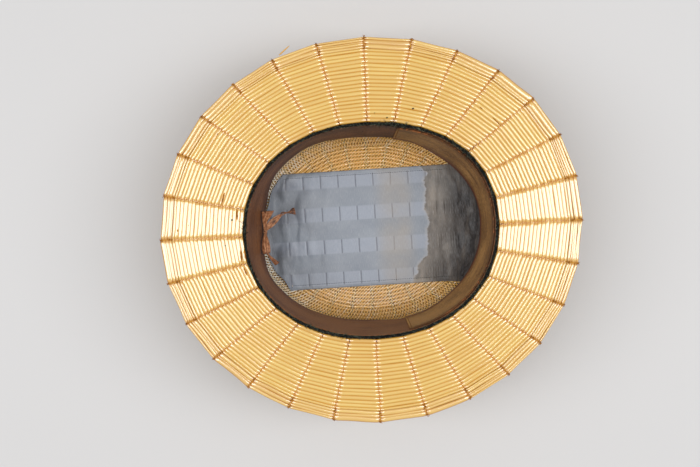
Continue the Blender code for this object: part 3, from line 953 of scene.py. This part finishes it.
def make_wear():
    marks, specks = Pile(), Pile()
    for *ends, half in STREAKS:
        marks.strand(wear_line(*ends), half * STREAK_WIDTHS * MM, corners=6, tone=STREAK_TONES)
    line = wear_line(*SLIVER)
    line[:, 2] += 0.3 * MM * np.sin(np.linspace(0, 3, 6))
    marks.strand(line, SLIVER_WIDTHS * MM, corners=6, tone=1.0)
    marks.build("brim_wear", THREAD, "straw")
    for x, y, radius in SPECKS:
        line = np.array([[x - radius, y - 0.1, 0], [x, y, 0], [x + radius, y + 0.2, 0]]) * MM
        line[:, 2] = WEAR_HEIGHT
        specks.strand(line, np.array([0.6, 1.0, 0.5]) * radius * MM, corners=6, tone=0.2)
    specks.build("brim_specks", CORD, "welt_cloth")


make_wear()


# Net over the inside of the crown

NET_PITCH = 1.88 * MM
NET_STOUT = 0.33 * MM  # radius of the threads that run one way
NET_FINE = 0.15 * MM  # and of those that cross them
NET_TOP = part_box("gauze_lining")[1].z
NET_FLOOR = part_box("gauze_lining")[0].z + 0.4 * MM
NET_INSET = STRAW + 0.8 * MM
NET_CORNER = 9.5 * MM
NET_ARC = NET_CORNER * math.pi / 2
NET_REACH = 0.105  # further than any thread of the tip goes from its middle
NET_STRANDS = 56  # threads on each side of the middle one
NET_STEPS = 43  # places on each thread of the tip
CLIMB_STEPS = 12  # and on each thread of the wall
NET_ANGLES = 720
NET_GIRTH = 560 * MM
NET_WARP = 0.28 * MM
NET_WAVES = 75  # in a metre
# Where the soft noise that moves a point along x, y and z is read, from the point's own place
WARP_SHIFTS = (Vector((0, 0, 0)), Vector((9.3, -1.5, -7.9)), Vector((6.3, 0.2, -2.7)))
WALL_LEAN = 0.45  # how far the threads of the wall run sideways for each length that they climb
# The two ways of the tip's threads: bearing, radius and tone
NET_WAYS = ((math.radians(43.5), NET_STOUT, 0.66), (math.radians(-46.5), NET_FINE, 0.58))


def warp(points):
    """Points that a soft noise moves, less up and down than sideways."""
    moved = [[noise.noise(Vector(p) * NET_WAVES + shift) * NET_WARP for shift in WARP_SHIFTS] for p in points]
    return points + np.array(moved) * np.array([1, 1, 0.25])


def net_wall_place(angle, run):
    """A place on the net's wall, a length up from where it leaves the flat tip."""
    if run < NET_ARC:
        turn = run / NET_CORNER
        z = NET_FLOOR + NET_CORNER * (1 - math.cos(turn))
        return ring_point(crown_half(z, NET_INSET + NET_CORNER * (1 - math.sin(turn))), angle, z)
    z = NET_FLOOR + NET_CORNER + run - NET_ARC
    return ring_point(crown_half(z, NET_INSET), angle, z)


def net_tip(pile, rng):
    flat_half = crown_half(NET_FLOOR, NET_INSET + NET_CORNER)
    for bearing, radius, tone in NET_WAYS:
        way = polar(1, bearing)
        side = np.cross(UP, way)
        for step in range(-NET_STRANDS, NET_STRANDS + 1):
            line = side * step * NET_PITCH + way * np.linspace(-NET_REACH, NET_REACH, NET_STEPS)[:, None]
            x, y = line[:, 0], line[:, 1]
            line = line[np.hypot(x, y) < oval_radius(flat_half, np.arctan2(y, x)) + 1 * MM]
            if len(line) < 2:
                continue
            line[:, 2] = NET_FLOOR
            # Painted shade: the threads darken towards the +y side of the tip, which lies more in shade
            tones = tone + 0.05 * rng.normal() - 1.6 * line[:, 1]
            pile.strand(warp(line), radius, corners=4, tone=tones, seed=rng.uniform(0, 9))


def net_wall(pile, rng):
    top_run = NET_TOP - NET_FLOOR - NET_CORNER + NET_ARC
    fine = equal_angles(NET_ANGLES)
    fine = np.append(fine, fine[0] - math.tau)
    count = round(NET_GIRTH / (NET_PITCH * math.sqrt(2)))
    runs = np.linspace(0, top_run, CLIMB_STEPS)
    for lean, radius in ((WALL_LEAN, NET_STOUT), (-WALL_LEAN, NET_FINE)):
        for step in range(count):
            around = (step / count + lean * runs / NET_GIRTH) % 1.0
            angles = np.interp(around * NET_ANGLES, np.arange(NET_ANGLES + 1), fine)
            line = np.array([net_wall_place(a, r) for a, r in zip(angles, runs)])
            inward = -np.stack([np.cos(angles), np.sin(angles), np.full(CLIMB_STEPS, 0.3)], axis=1)
            # Painted light: the threads are paler towards the back, where the wall faces the lamp on the +x
            # side
            at_back = max(0.0, -math.cos(angles[0])) ** 3
            thick = (radius + NET_STOUT) / 1.75
            tones = 0.6 + 0.5 * at_back + 0.07 * rng.normal()
            pile.strand(warp(line), thick, corners=4, face=inward, tone=tones, seed=rng.uniform(0, 9))


def make_net():
    rng = np.random.default_rng(41)
    pile = Pile()
    net_tip(pile, rng)
    net_wall(pile, rng)
    net = pile.build("gauze_net", NET_THREAD, "net", ["gauze_lining"])


make_net()


# Silk panel

SILK_WIDTH = 100.6 * MM
SILK_TURN = math.radians(1.5)
SILK_FLOOR = STRAW + 1.6 * MM
SILK_TOP = 46.0 * MM
SILK_FRONT_CURVE = 17.0 * MM
SILK_BACK_CURVE = 10.0 * MM
SILK_BACK_TOP = 7.2 * MM
SILK_INSET = STRAW + 2.9 * MM
SILK_CLOTH = 0.3 * MM
SILK_COLUMNS = 101
SILK_BACK_ROWS = 150
SILK_FRONT_ROWS = 180
# Woven squares: the middle of each row of them across the panel and its width, in millimetres
SQUARE_ROWS = ((-42.3, 11.2), (-14.6, 12.0), (13.4, 12.0), (41.6, 11.0))
SQUARE_PITCH = 15.1 * MM
SQUARE_START = 6.2 * MM
# The water stain's edge: across the panel and along it, in millimetres
TIDE_LINE = (
    (-50.3, 34.0), (-41.0, 40.5), (-35.0, 40.0), (-26.0, 49.0), (-17.0, 50.0), (-6.0, 50.5), (3.0, 53.0),
    (13.0, 49.0), (22.0, 50.0), (30.0, 51.0), (38.0, 49.5), (43.0, 53.5), (50.3, 47.0),
)


def silk_reach(across, z, way):
    """How far along the panel, forwards or backwards, the net lies at that height."""
    half = crown_half(z, SILK_INSET)
    near, far = 0.0, OPENING_HALF[0]
    for _ in range(30):
        middle = (near + far) / 2
        angle = math.atan2(across, way * middle) + SILK_TURN
        if math.hypot(middle, across) < oval_radius(half, angle):
            near = middle
        else:
            far = middle
    return near


def silk_route(across, way, curve, top, count):
    """Points an equal length apart from the panel's middle, along the tip and up the wall to a height."""
    foot = silk_reach(across, SILK_FLOOR, way)
    head = silk_reach(across, SILK_TOP, way)
    slope = math.atan2(SILK_TOP - SILK_FLOOR, head - foot)
    back = curve * math.tan(slope / 2)
    turns = np.linspace(0, slope, 24)
    xs = np.concatenate([[0], foot - back + curve * np.sin(turns), [head]])
    zs = np.concatenate([[SILK_FLOOR], SILK_FLOOR + curve * (1 - np.cos(turns)), [SILK_TOP]])
    run = run_along(np.stack([xs, zs], axis=1))
    wanted = np.linspace(0, np.interp(top, zs, run), count)
    return np.interp(wanted, run, xs), np.interp(wanted, run, zs), wanted


def silk_grid():
    """The panel's places, line by line from its +y edge, and how far along and across it each lies."""
    grid, lies = [], []
    for across in np.linspace(1, -1, SILK_COLUMNS) * SILK_WIDTH / 2:
        x_back, z_back, back = silk_route(across, -1, SILK_BACK_CURVE, SILK_BACK_TOP, SILK_BACK_ROWS)
        x_front, z_front, front = silk_route(across, 1, SILK_FRONT_CURVE, SILK_TOP, SILK_FRONT_ROWS)
        x = np.concatenate([-x_back[::-1], x_front[1:]])
        z = np.concatenate([z_back[::-1], z_front[1:]])
        along = np.concatenate([-back[::-1], front[1:]])
        turned_x = x * math.cos(SILK_TURN) - across * math.sin(SILK_TURN)
        turned_y = x * math.sin(SILK_TURN) + across * math.cos(SILK_TURN)
        grid.append(np.stack([turned_x, turned_y, z], axis=1))
        lies.append(np.stack([along, np.full_like(along, across), np.zeros_like(along)], axis=1))
    return np.array(grid), np.array(lies)


def in_square_row(across):
    """From 0 to 1, how much a place across the panel lies in a row of woven squares."""
    best = np.zeros_like(across)
    for middle, width in SQUARE_ROWS:
        gap = np.abs(across / MM - middle) - width / 2
        best = np.maximum(best, np.clip(0.5 - gap / 0.8, 0, 1))
    return best


def past_tide(along, across):
    """How far inside the water stain's edge a place lies."""
    return along - np.interp(across, *np.array(TIDE_LINE).T * MM)


def field(along, across, per_length, per_width, slice_at):
    """Soft random heights, from -1 to 1, over the panel."""
    places = zip(along.ravel(), across.ravel())
    found = [noise.noise((u * per_length, v * per_width, slice_at)) for u, v in places]
    return np.array(found).reshape(along.shape)


def silk_relief(along, across):
    """How far the cloth stands off its plain course: puckers at the squares, soft folds at the ends, crimps
    where it was wet. It sinks only a little, and moves least at its long edges."""
    squares = in_square_row(across)
    phase = (along - SQUARE_START) / SQUARE_PITCH
    from_line = np.abs(phase - np.round(phase)) * SQUARE_PITCH
    back = ramp_up(-along, 26 * MM, 66 * MM)
    inside = past_tide(along, across)
    wet = ramp_up(inside, 0, 6 * MM)
    deep = ramp_up(inside, 0, 30 * MM)
    pucker = 0.4 * bell(from_line - 2.0 * MM, 1.1 * MM) - bell(from_line, 0.8 * MM)
    relief = squares * pucker * (0.22 + 0.26 * back + 0.1 * wet)
    soft = field(along, across, 80, 60, 1.7)
    folds = field(along, across, 150, 44, 5.2)
    small = field(along, across, 330, 150, 8.4)
    relief += np.sin(along / (2.1 * MM) * math.tau + 2 * soft) * wet * squares * 0.24
    relief += soft * (0.3 + 3.2 * back + 3.4 * deep)
    relief += folds * (0.15 + 1.1 * back + 1.7 * wet)
    relief += small * (0.06 + 0.1 * back + 0.2 * wet)
    raised = relief + 0.6 * (back + deep)
    deepest = 0.35
    sunk = -deepest * (1 - np.exp(np.minimum(raised, 0) / deepest))
    edge = ramp_up(SILK_WIDTH / 2 - np.abs(across), 0, 3 * MM)
    return np.where(raised > 0, raised, sunk) * (0.25 + 0.75 * edge) * MM


def dry_silk(finish, lie, along, squares, patches):
    """Plain weave with satin squares, yellowed before the stain, with painted shade in soft clouds at the
    back.
    """
    phase = finish.maths("DIVIDE", finish.maths("SUBTRACT", along, SQUARE_START), SQUARE_PITCH)
    from_line = finish.maths("ABSOLUTE", finish.maths("SUBTRACT", phase, finish.maths("ROUND", phase)))
    line = finish.stretch(from_line, 0.02, 0.055, 1.0, 0.0, smooth=True)
    plain = finish.mix(finish.stretch(patches, 0.35, 0.65), srgb(130, 139, 151), srgb(148, 155, 165))
    satin = finish.mix(line, srgb(152, 160, 174), srgb(103, 109, 122))
    colour = finish.mix(squares, plain, satin)
    yellow = finish.hill(along, (2 * MM, 20 * MM), (30 * MM, 44 * MM))
    yellow = finish.times(yellow, finish.stretch(patches, *NOISE_RANGE, 0.15, 0.7))
    colour = finish.mix(yellow, colour, srgb(166, 154, 138))
    at_back = finish.stretch(along, -30 * MM, -88 * MM, smooth=True)
    # Painted shade: soft clouds of shade darken the back end
    shade_clouds = finish.noise(lie, (26, 34, 1), detail=1)
    back_shade = finish.times(at_back, finish.stretch(shade_clouds, 0.36, 0.6, 0.02, 0.68, smooth=True))
    return finish.mix(back_shade, colour, srgb(66, 67, 73))


def stained_silk(finish, lie, across, wet, patches):
    """The water stain: washed pale behind its edge, darker further in, partly the stain and partly painted
    shade where the cloth climbs the wall, and greyer on the panel's +y side.
    """
    # Darker further in: partly the stain, partly painted shade where the cloth climbs the wall
    further_in = finish.stretch(wet, 0.58, 0.80, smooth=True)
    colour = finish.mix(further_in, srgb(152, 144, 134), srgb(28, 18, 7))
    grey_side = finish.stretch(across, 16 * MM, 44 * MM, 0.0, 0.5, smooth=True)
    colour = finish.mix(grey_side, colour, srgb(84, 82, 80))
    # Painted shade: dark blotches stand in for the shade of broad folds
    blotches = finish.stretch(patches, 0.44, 0.54, 0.0, 0.6, smooth=True)
    colour = finish.mix(blotches, colour, srgb(62, 51, 40))
    streaks = finish.stretch(finish.noise(lie, (130, 34, 1)), 0.5, 0.68, 0.0, 0.25)
    colour = finish.mix(streaks, colour, srgb(160, 150, 138))
    washed = finish.hill(wet, (0.505, 0.53), (0.55, 0.62))
    washed = finish.times(washed, finish.stretch(finish.noise(lie, (90, 30, 1)), 0.45, 0.6, 0.0, 0.6))
    return finish.mix(washed, colour, srgb(158, 146, 132))


def silk_finish():
    """Blue-grey silk with woven squares and a water stain. The tone attribute tells the rows of squares, and
    the stain attribute how far inside the stain a place lies, 0.5 at its edge."""
    finish = Finish("silk")
    lie = finish.attribute("lie", "Vector")
    along, across, _ = finish.split(lie)
    squares, wet = finish.attribute("tone"), finish.attribute("stain")
    patches = finish.noise(lie, (24, 30, 1))
    wet_edge = finish.vary(wet, finish.noise(lie, (130, 190, 1), roughness=0.6), 0.014)
    soaked = finish.stretch(wet_edge, 0.496, 0.504)
    dry = dry_silk(finish, lie, along, squares, patches)
    colour = finish.mix(soaked, dry, stained_silk(finish, lie, across, wet, patches))
    threads = finish.noise(lie, (500, 3200, 1), detail=2)
    slubs = finish.noise(lie, (2600, 260, 1), detail=2)
    colour = finish.mix(finish.stretch(threads, 0.35, 0.65, 0.0, 0.14), colour, srgb(108, 112, 122))
    colour = finish.mix(finish.stretch(slubs, 0.45, 0.7, 0.0, 0.16), colour, srgb(204, 206, 212))
    rim = finish.hill(wet_edge, (0.47, 0.495), (0.497, 0.51), smooth=False)
    colour = finish.mix(finish.times(rim, 0.32), colour, srgb(196, 190, 186))
    waves = {"Vector": finish.scaled(lie, (560, 560, 1)), "Scale": 1.0}
    twill = finish.node("TexWave", waves, wave_type="BANDS", bands_direction="DIAGONAL").outputs["Fac"]
    weave = finish.add(finish.times(twill, 0.4), threads)
    finish.surface(
        Base_Color=colour,
        Roughness=finish.add(finish.stretch(squares, 0.0, 1.0, 0.42, 0.36), finish.times(soaked, 0.14)),
        Normal=finish.bump(weave, 0.00009),
        Specular_IOR_Level=0.6,
    )
    return finish.material


def make_silk():
    grid, lies = silk_grid()
    along, across = lies[..., 0], lies[..., 1]
    normals = unit(np.cross(np.gradient(grid, axis=0), np.gradient(grid, axis=1)))
    grid = grid + normals * (silk_relief(along, across) * np.sign(normals[..., 2]))[..., None]
    wet = np.clip(0.5 + past_tide(along, across) / (100 * MM), 0, 1)
    pile = Pile()
    pile.shell(grid, SILK_CLOTH, lies, tone=in_square_row(across), stain=wet)
    silk = pile.build("silk_panel", silk_finish(), "silk", ["silk_lining"])
    make_silk_stitches(grid)


def make_silk_stitches(grid):
    """Stitches along both long edges of the panel."""
    stitches = Pile()
    rng = np.random.default_rng(51)
    for column in (4, grid.shape[0] - 5):
        for j in range(8, grid.shape[1] - 8, 3):
            start, end = grid[column, j], grid[column, j + 2]
            line = np.array([start, (start + end) / 2 + UP * 0.28 * MM, end]) + rng.normal(size=3) * 0.04 * MM
            stitches.strand(line, 0.2 * MM, corners=4, tone=0.72)
    stitches.build("silk_stitches", CORD, "silk")


make_silk()


# Ribbon bow

# Cross-lines of each ribbon in millimetres, from the knot to its end: x, y, z of one edge and of the other
UPPER_LOOP = (
    (-86.8, 2.2, 44.6, -85.1, 2.0, 44.6),
    (-87.3, 6.6, 46.4, -84.3, 7.1, 46.8),
    (-87.7, 12.0, 48.6, -82.5, 10.6, 49.0),
    (-88.1, 15.2, 50.0, -79.9, 14.0, 51.0),
    (-88.4, 17.6, 51.0, -77.4, 17.8, 52.6),
)
LOWER_LOOP = (
    (-86.7, -0.6, 44.6, -85.0, -0.4, 44.6),
    (-87.7, -4.0, 46.4, -84.0, -3.2, 46.6),
    (-88.6, -8.4, 48.4, -82.7, -7.4, 48.6),
    (-88.8, -12.8, 49.8, -81.8, -11.6, 50.0),
    (-87.9, -16.8, 50.8, -81.8, -15.6, 50.8),
)
UPPER_TAIL = (
    (-85.9, 1.9, 43.9, -85.2, 1.2, 43.7),
    (-84.8, 6.2, 44.6, -82.4, 3.2, 43.6),
    (-82.6, 9.5, 44.4, -79.1, 5.4, 42.8),
    (-79.6, 12.0, 43.2, -75.9, 8.4, 41.9),
    (-76.5, 13.8, 41.9, -73.9, 11.3, 40.9),
    (-73.6, 14.9, 40.8, -72.4, 13.4, 40.0),
    (-71.8, 14.6, 40.4, -71.9, 13.9, 39.2),
    (-69.9, 15.8, 39.6, -69.8, 15.0, 38.2),
    (-68.2, 16.4, 38.2, -67.9, 15.5, 37.2),
    (-66.2, 17.2, 37.0, -65.9, 15.3, 36.6),
    (-63.6, 19.4, 35.6, -63.0, 14.6, 35.6),
    (-61.9, 20.0, 34.9, -60.8, 14.0, 34.9),
)
UPPER_TAIL_TWIST = (
    (-73.4, 14.6, 40.6, -73.0, 14.0, 40.0),
    (-72.6, 16.0, 40.8, -72.0, 15.2, 39.8),
    (-71.0, 16.9, 40.2, -70.7, 15.9, 39.2),
    (-69.4, 16.8, 39.2, -69.4, 15.9, 38.4),
    (-67.9, 16.4, 38.0, -68.0, 15.8, 37.4),
)
LOWER_TAIL = (
    (-86.4, -1.8, 43.4, -85.4, -1.8, 43.4),
    (-86.4, -9.0, 44.4, -84.9, -9.0, 44.4),
    (-85.6, -15.6, 45.2, -84.3, -15.4, 45.2),
    (-83.8, -19.6, 43.6, -82.4, -18.9, 43.4),
    (-81.5, -23.6, 41.3, -79.0, -22.0, 41.1),
    (-79.3, -27.3, 39.2, -75.7, -24.9, 38.8),
)
RIBBON_CLOTH = 0.35 * MM
LOOP_STEPS = 24
LOOP_COLUMNS = 15
LOOP_FOLDS = 3.2


def ribbon_finish():
    finish = Finish("ribbon")
    lie = finish.attribute("lie", "Vector")
    ribs = finish.noise(lie, (4200, 300, 1), detail=2)
    creases = finish.noise(lie, (260, 520, 1))
    weave = finish.noise(lie, (1100, 1300, 1), detail=2)
    tone = finish.vary(finish.vary(finish.attribute("tone"), creases, 0.4), weave, 0.2)
    colour = finish.ramp(tone, (0.0, srgb(66, 32, 12)), (0.5, srgb(148, 92, 54)), (1.0, srgb(206, 150, 108)))
    finish.surface(
        # On the ribbon the stain attribute carries only the painted shade of a hole
        Base_Color=finish.mix(finish.attribute("stain"), colour, srgb(58, 32, 18)),
        Roughness=0.5,
        Normal=finish.bump(creases, 0.0005, over=finish.bump(ribs, 0.0001)),
        Sheen_Weight=0.3,
        Sheen_Roughness=0.4,
    )
    return finish.material


def smooth_rows(table, steps):
    """The rows of a table with more between them on a smooth curve."""
    table = np.array(table, float)
    run = run_along(table[:, :3] + table[:, 3:6])
    found = []
    for x in np.linspace(0, run[-1], steps):
        i = min(len(run) - 2, max(0, int(np.searchsorted(run, x)) - 1))
        t = (x - run[i]) / (run[i + 1] - run[i])
        p0, p1, p2, p3 = (table[min(len(table) - 1, max(0, j))] for j in (i - 1, i, i + 1, i + 2))
        squared, cubed = 2 * p0 - 5 * p1 + 4 * p2 - p3, 3 * p1 - p0 - 3 * p2 + p3
        found.append((2 * p1 + (p2 - p0) * t + squared * t**2 + cubed * t**3) / 2)
    return np.array(found) * MM


def ribbon_grid(table, steps, columns=13, arch=0.12, lift=0.0, gathers=0.0, folds=2.5, phase=0.6):
    """A ribbon through cross-lines, arched across, with folds along it that fade out towards its end."""
    rows = smooth_rows(table, steps)
    first, second = rows[:, :3], rows[:, 3:]
    widths = np.linalg.norm(second - first, axis=1)
    middle = (first + second) / 2
    face = unit(np.cross(second - first, unit(np.gradient(middle, axis=0))))
    face = face * np.where(face[:, 2] < 0, -1, 1)[:, None]
    run = run_along(middle)
    fade = (1 - run / run[-1] * 0.55) * np.minimum(1, widths / (3 * MM))
    grid = np.zeros((steps, columns, 3))
    lies = np.zeros_like(grid)
    lies[..., 0] = run[:, None]
    lies[..., 1] = np.linspace(-4, 4, columns) * MM
    for j, share in enumerate(np.linspace(-1, 1, columns)):
        rise = arch * widths * (1 - share**2) + lift * min(1.0, 2.2 * (1 - abs(share)) + 0.25)
        fold = gathers * np.cos(share * math.pi * folds + phase) * fade
        grid[:, j] = first + (second - first) * (share + 1) / 2 + face * (rise + fold)[:, None]
    return grid, lies


def make_tail(ribbon, name, table, node, tone_drop, hole=0.0, twist=None):
    """A hanging end, with painted shade where its last part is turned away, and a dark spot of painted shade
    for a hole if it has one.
    """
    grid, lies = ribbon_grid(table, 40, arch=0.14, gathers=0.22 * MM)
    share = np.linspace(0, 1, grid.shape[0])[:, None]
    # Painted shade: darker on the last part, which is turned away from the light
    tone = 0.62 - tone_drop * ramp_up(share, 0.62, 0.82)
    # Painted shade: a dark spot where the hole is, carried by the stain attribute
    spot = bell(share - 0.33, 0.055) * bell(lies[..., 1], 1.9 * MM)
    pile = Pile()
    pile.shell(grid, RIBBON_CLOTH, lies, tone=tone, stain=np.clip(spot * hole, 0, 1))
    if twist:
        twist_grid, twist_lies = ribbon_grid(twist, 16, columns=7, arch=0.2)
        pile.shell(twist_grid, RIBBON_CLOTH, twist_lies, tone=0.1)
    piece = pile.build(name, ribbon, "ribbon", [node])


def make_loop(ribbon, name, table, node, phase):
    """A loop out from the knot and back under itself, with painted shade inside it, a painted shadow along
    its edge by the band and painted shade in the valleys of its folds.
    """
    layer = (table, LOOP_STEPS, LOOP_COLUMNS)
    over, _ = ribbon_grid(*layer, arch=0.05, lift=0.9 * MM, gathers=0.34 * MM, folds=LOOP_FOLDS, phase=phase)
    under, _ = ribbon_grid(*layer, arch=0.02, lift=-0.9 * MM, gathers=0.12 * MM, phase=phase)
    tip = (over[-1] + under[-1]) / 2 + unit(over[-1] - over[-2]) * 0.5 * MM
    start = (over[0] + under[0]) / 2
    grid = np.concatenate([start[None], over[1:], tip[None], under[:0:-1], start[None] - UP * 0.2 * MM])
    run = run_along(grid[:, LOOP_COLUMNS // 2])
    lies = np.zeros_like(grid)
    lies[..., 0] = run[:, None]
    lies[..., 1] = np.linspace(-4, 4, LOOP_COLUMNS) * MM
    # Painted shade: darker inside the loop, along the columns next to the band and in the fold valleys
    inside = ramp_up(run / run[-1], 0.47, 0.53)
    band_shadow = np.clip(1 - np.arange(LOOP_COLUMNS) / 3, 0, 1)
    fold_shade = 0.16 * np.cos(np.linspace(-1, 1, LOOP_COLUMNS) * math.pi * LOOP_FOLDS + phase)
    pile = Pile()
    pile.shell(grid, RIBBON_CLOTH, lies, tone=0.6 + fold_shade - 0.5 * inside[:, None] - 0.9 * band_shadow)
    piece = pile.build(name, ribbon, "ribbon", [node])


def make_knot(ribbon):
    """Three turns of the ribbon round the place where the bow is tied."""
    low, high = (np.array(corner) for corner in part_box("bow_knot"))
    centre, half = (low + high) / 2, (high - low) / 2
    turn = np.linspace(0, math.tau, 25)[:-1]
    pile = Pile()
    for i, (y, tone) in enumerate(((-0.55, 0.3), (0.0, 0.62), (0.55, 0.4))):
        squeeze = math.sqrt(1 - (y * 0.9) ** 2)
        x = np.cos(turn) * half[0] * 0.72 * squeeze
        aside = half[1] * y + 0.3 * MM * np.sin(turn * 2 + i)
        z = np.sin(turn) * half[2] * 0.75 * squeeze
        ring = centre + np.stack([x, aside, z], axis=1)
        out = unit(np.stack([x, np.zeros_like(x), z], axis=1))
        pile.sweep(ring, np.cross(out, ring_ways(ring)), out, 0.75 * MM, 0.5 * MM, closed=True, tone=tone)
    pile.build("bow_knot_silk", ribbon, "ribbon", ["bow_knot"])


def make_bow():
    ribbon = ribbon_finish()
    make_tail(ribbon, "bow_upper_tail", UPPER_TAIL, "bow_tail_upper", 0.45, hole=1.0, twist=UPPER_TAIL_TWIST)
    make_tail(ribbon, "bow_lower_tail", LOWER_TAIL, "bow_tail_lower", 0.25)
    make_loop(ribbon, "bow_upper_loop", UPPER_LOOP, "bow_loop_upper", 0.4)
    make_loop(ribbon, "bow_lower_loop", LOWER_LOOP, "bow_loop_lower", 1.9)
    make_knot(ribbon)


make_bow()


# Floor, lights and camera

LENS = 50.0
SENSOR = 36.0
CAMERA_TILT = math.radians(2.3)
CAMERA_ROLL = math.radians(-2.1)
CAMERA_DISTANCE = 0.757
AIM = (-0.0161, -0.0018)  # across and up the picture, from the middle of the opening
FLOOR_HALF = 4
LIGHT_ASIDE = 0.88
LIGHT_HEIGHT = 1.5
LIGHT_SIZE = (0.62, 1.62)  # along and across the picture
LIGHT_POWER = 15.5
ROOM_LIGHT = 0.478


def make_camera():
    right = Vector((math.cos(CAMERA_ROLL), math.sin(CAMERA_ROLL), 0))
    level_up = Vector((-math.sin(CAMERA_ROLL), math.cos(CAMERA_ROLL), 0))
    back = level_up * math.sin(CAMERA_TILT) + Vector((0, 0, 1)) * math.cos(CAMERA_TILT)
    up = back.cross(right)
    aim = right * AIM[0] + level_up * AIM[1] + Vector((0, 0, HAT_HEIGHT))
    camera = bpy.data.objects.new("camera", bpy.data.cameras.new("camera"))
    camera.data.lens = LENS
    camera.data.sensor_width = SENSOR
    camera.data.clip_start = 0.01
    bpy.context.scene.collection.objects.link(camera)
    matrix = camera.matrix_world.to_3x3()
    for row in range(3):
        matrix[row] = (right[row], up[row], back[row])
    camera.matrix_world = matrix.to_4x4()
    camera.location = aim + back * CAMERA_DISTANCE
    bpy.context.scene.camera = camera


def make_light(name, side, power):
    light = bpy.data.objects.new(name, bpy.data.lights.new(name, "AREA"))
    light.data.shape = "RECTANGLE"
    light.data.size, light.data.size_y = LIGHT_SIZE
    light.data.energy = LIGHT_POWER * power
    light.location = (side * LIGHT_ASIDE, 0.0, LIGHT_HEIGHT)
    toward = Vector((0, 0, 0.05)) - light.location
    light.rotation_mode = "QUATERNION"
    light.rotation_quaternion = toward.to_track_quat("-Z", "Y")
    bpy.context.scene.collection.objects.link(light)


def make_studio():
    mesh = bpy.data.meshes.new("floor")
    corners = [(x * FLOOR_HALF, y * FLOOR_HALF, 0) for x, y in ((-1, -1), (1, -1), (1, 1), (-1, 1))]
    mesh.from_pydata(corners, [], [(0, 1, 2, 3)])
    floor = bpy.data.objects.new("floor", mesh)
    bpy.context.scene.collection.objects.link(floor)
    paper = Finish("floor_paper")
    paper.surface(Base_Color=srgb(205, 204, 204), Roughness=0.85)
    mesh.materials.append(paper.material)
    make_light("light_left", -1, 0.9)
    make_light("light_right", 1, 0.98)
    world = bpy.data.worlds.new("studio")
    world.use_nodes = True
    background = world.node_tree.nodes["Background"]
    background.inputs["Color"].default_value = (1, 1, 1, 1)
    background.inputs["Strength"].default_value = ROOM_LIGHT
    bpy.context.scene.world = world
    bpy.context.scene.view_settings.view_transform = "Standard"


make_camera()
make_studio()
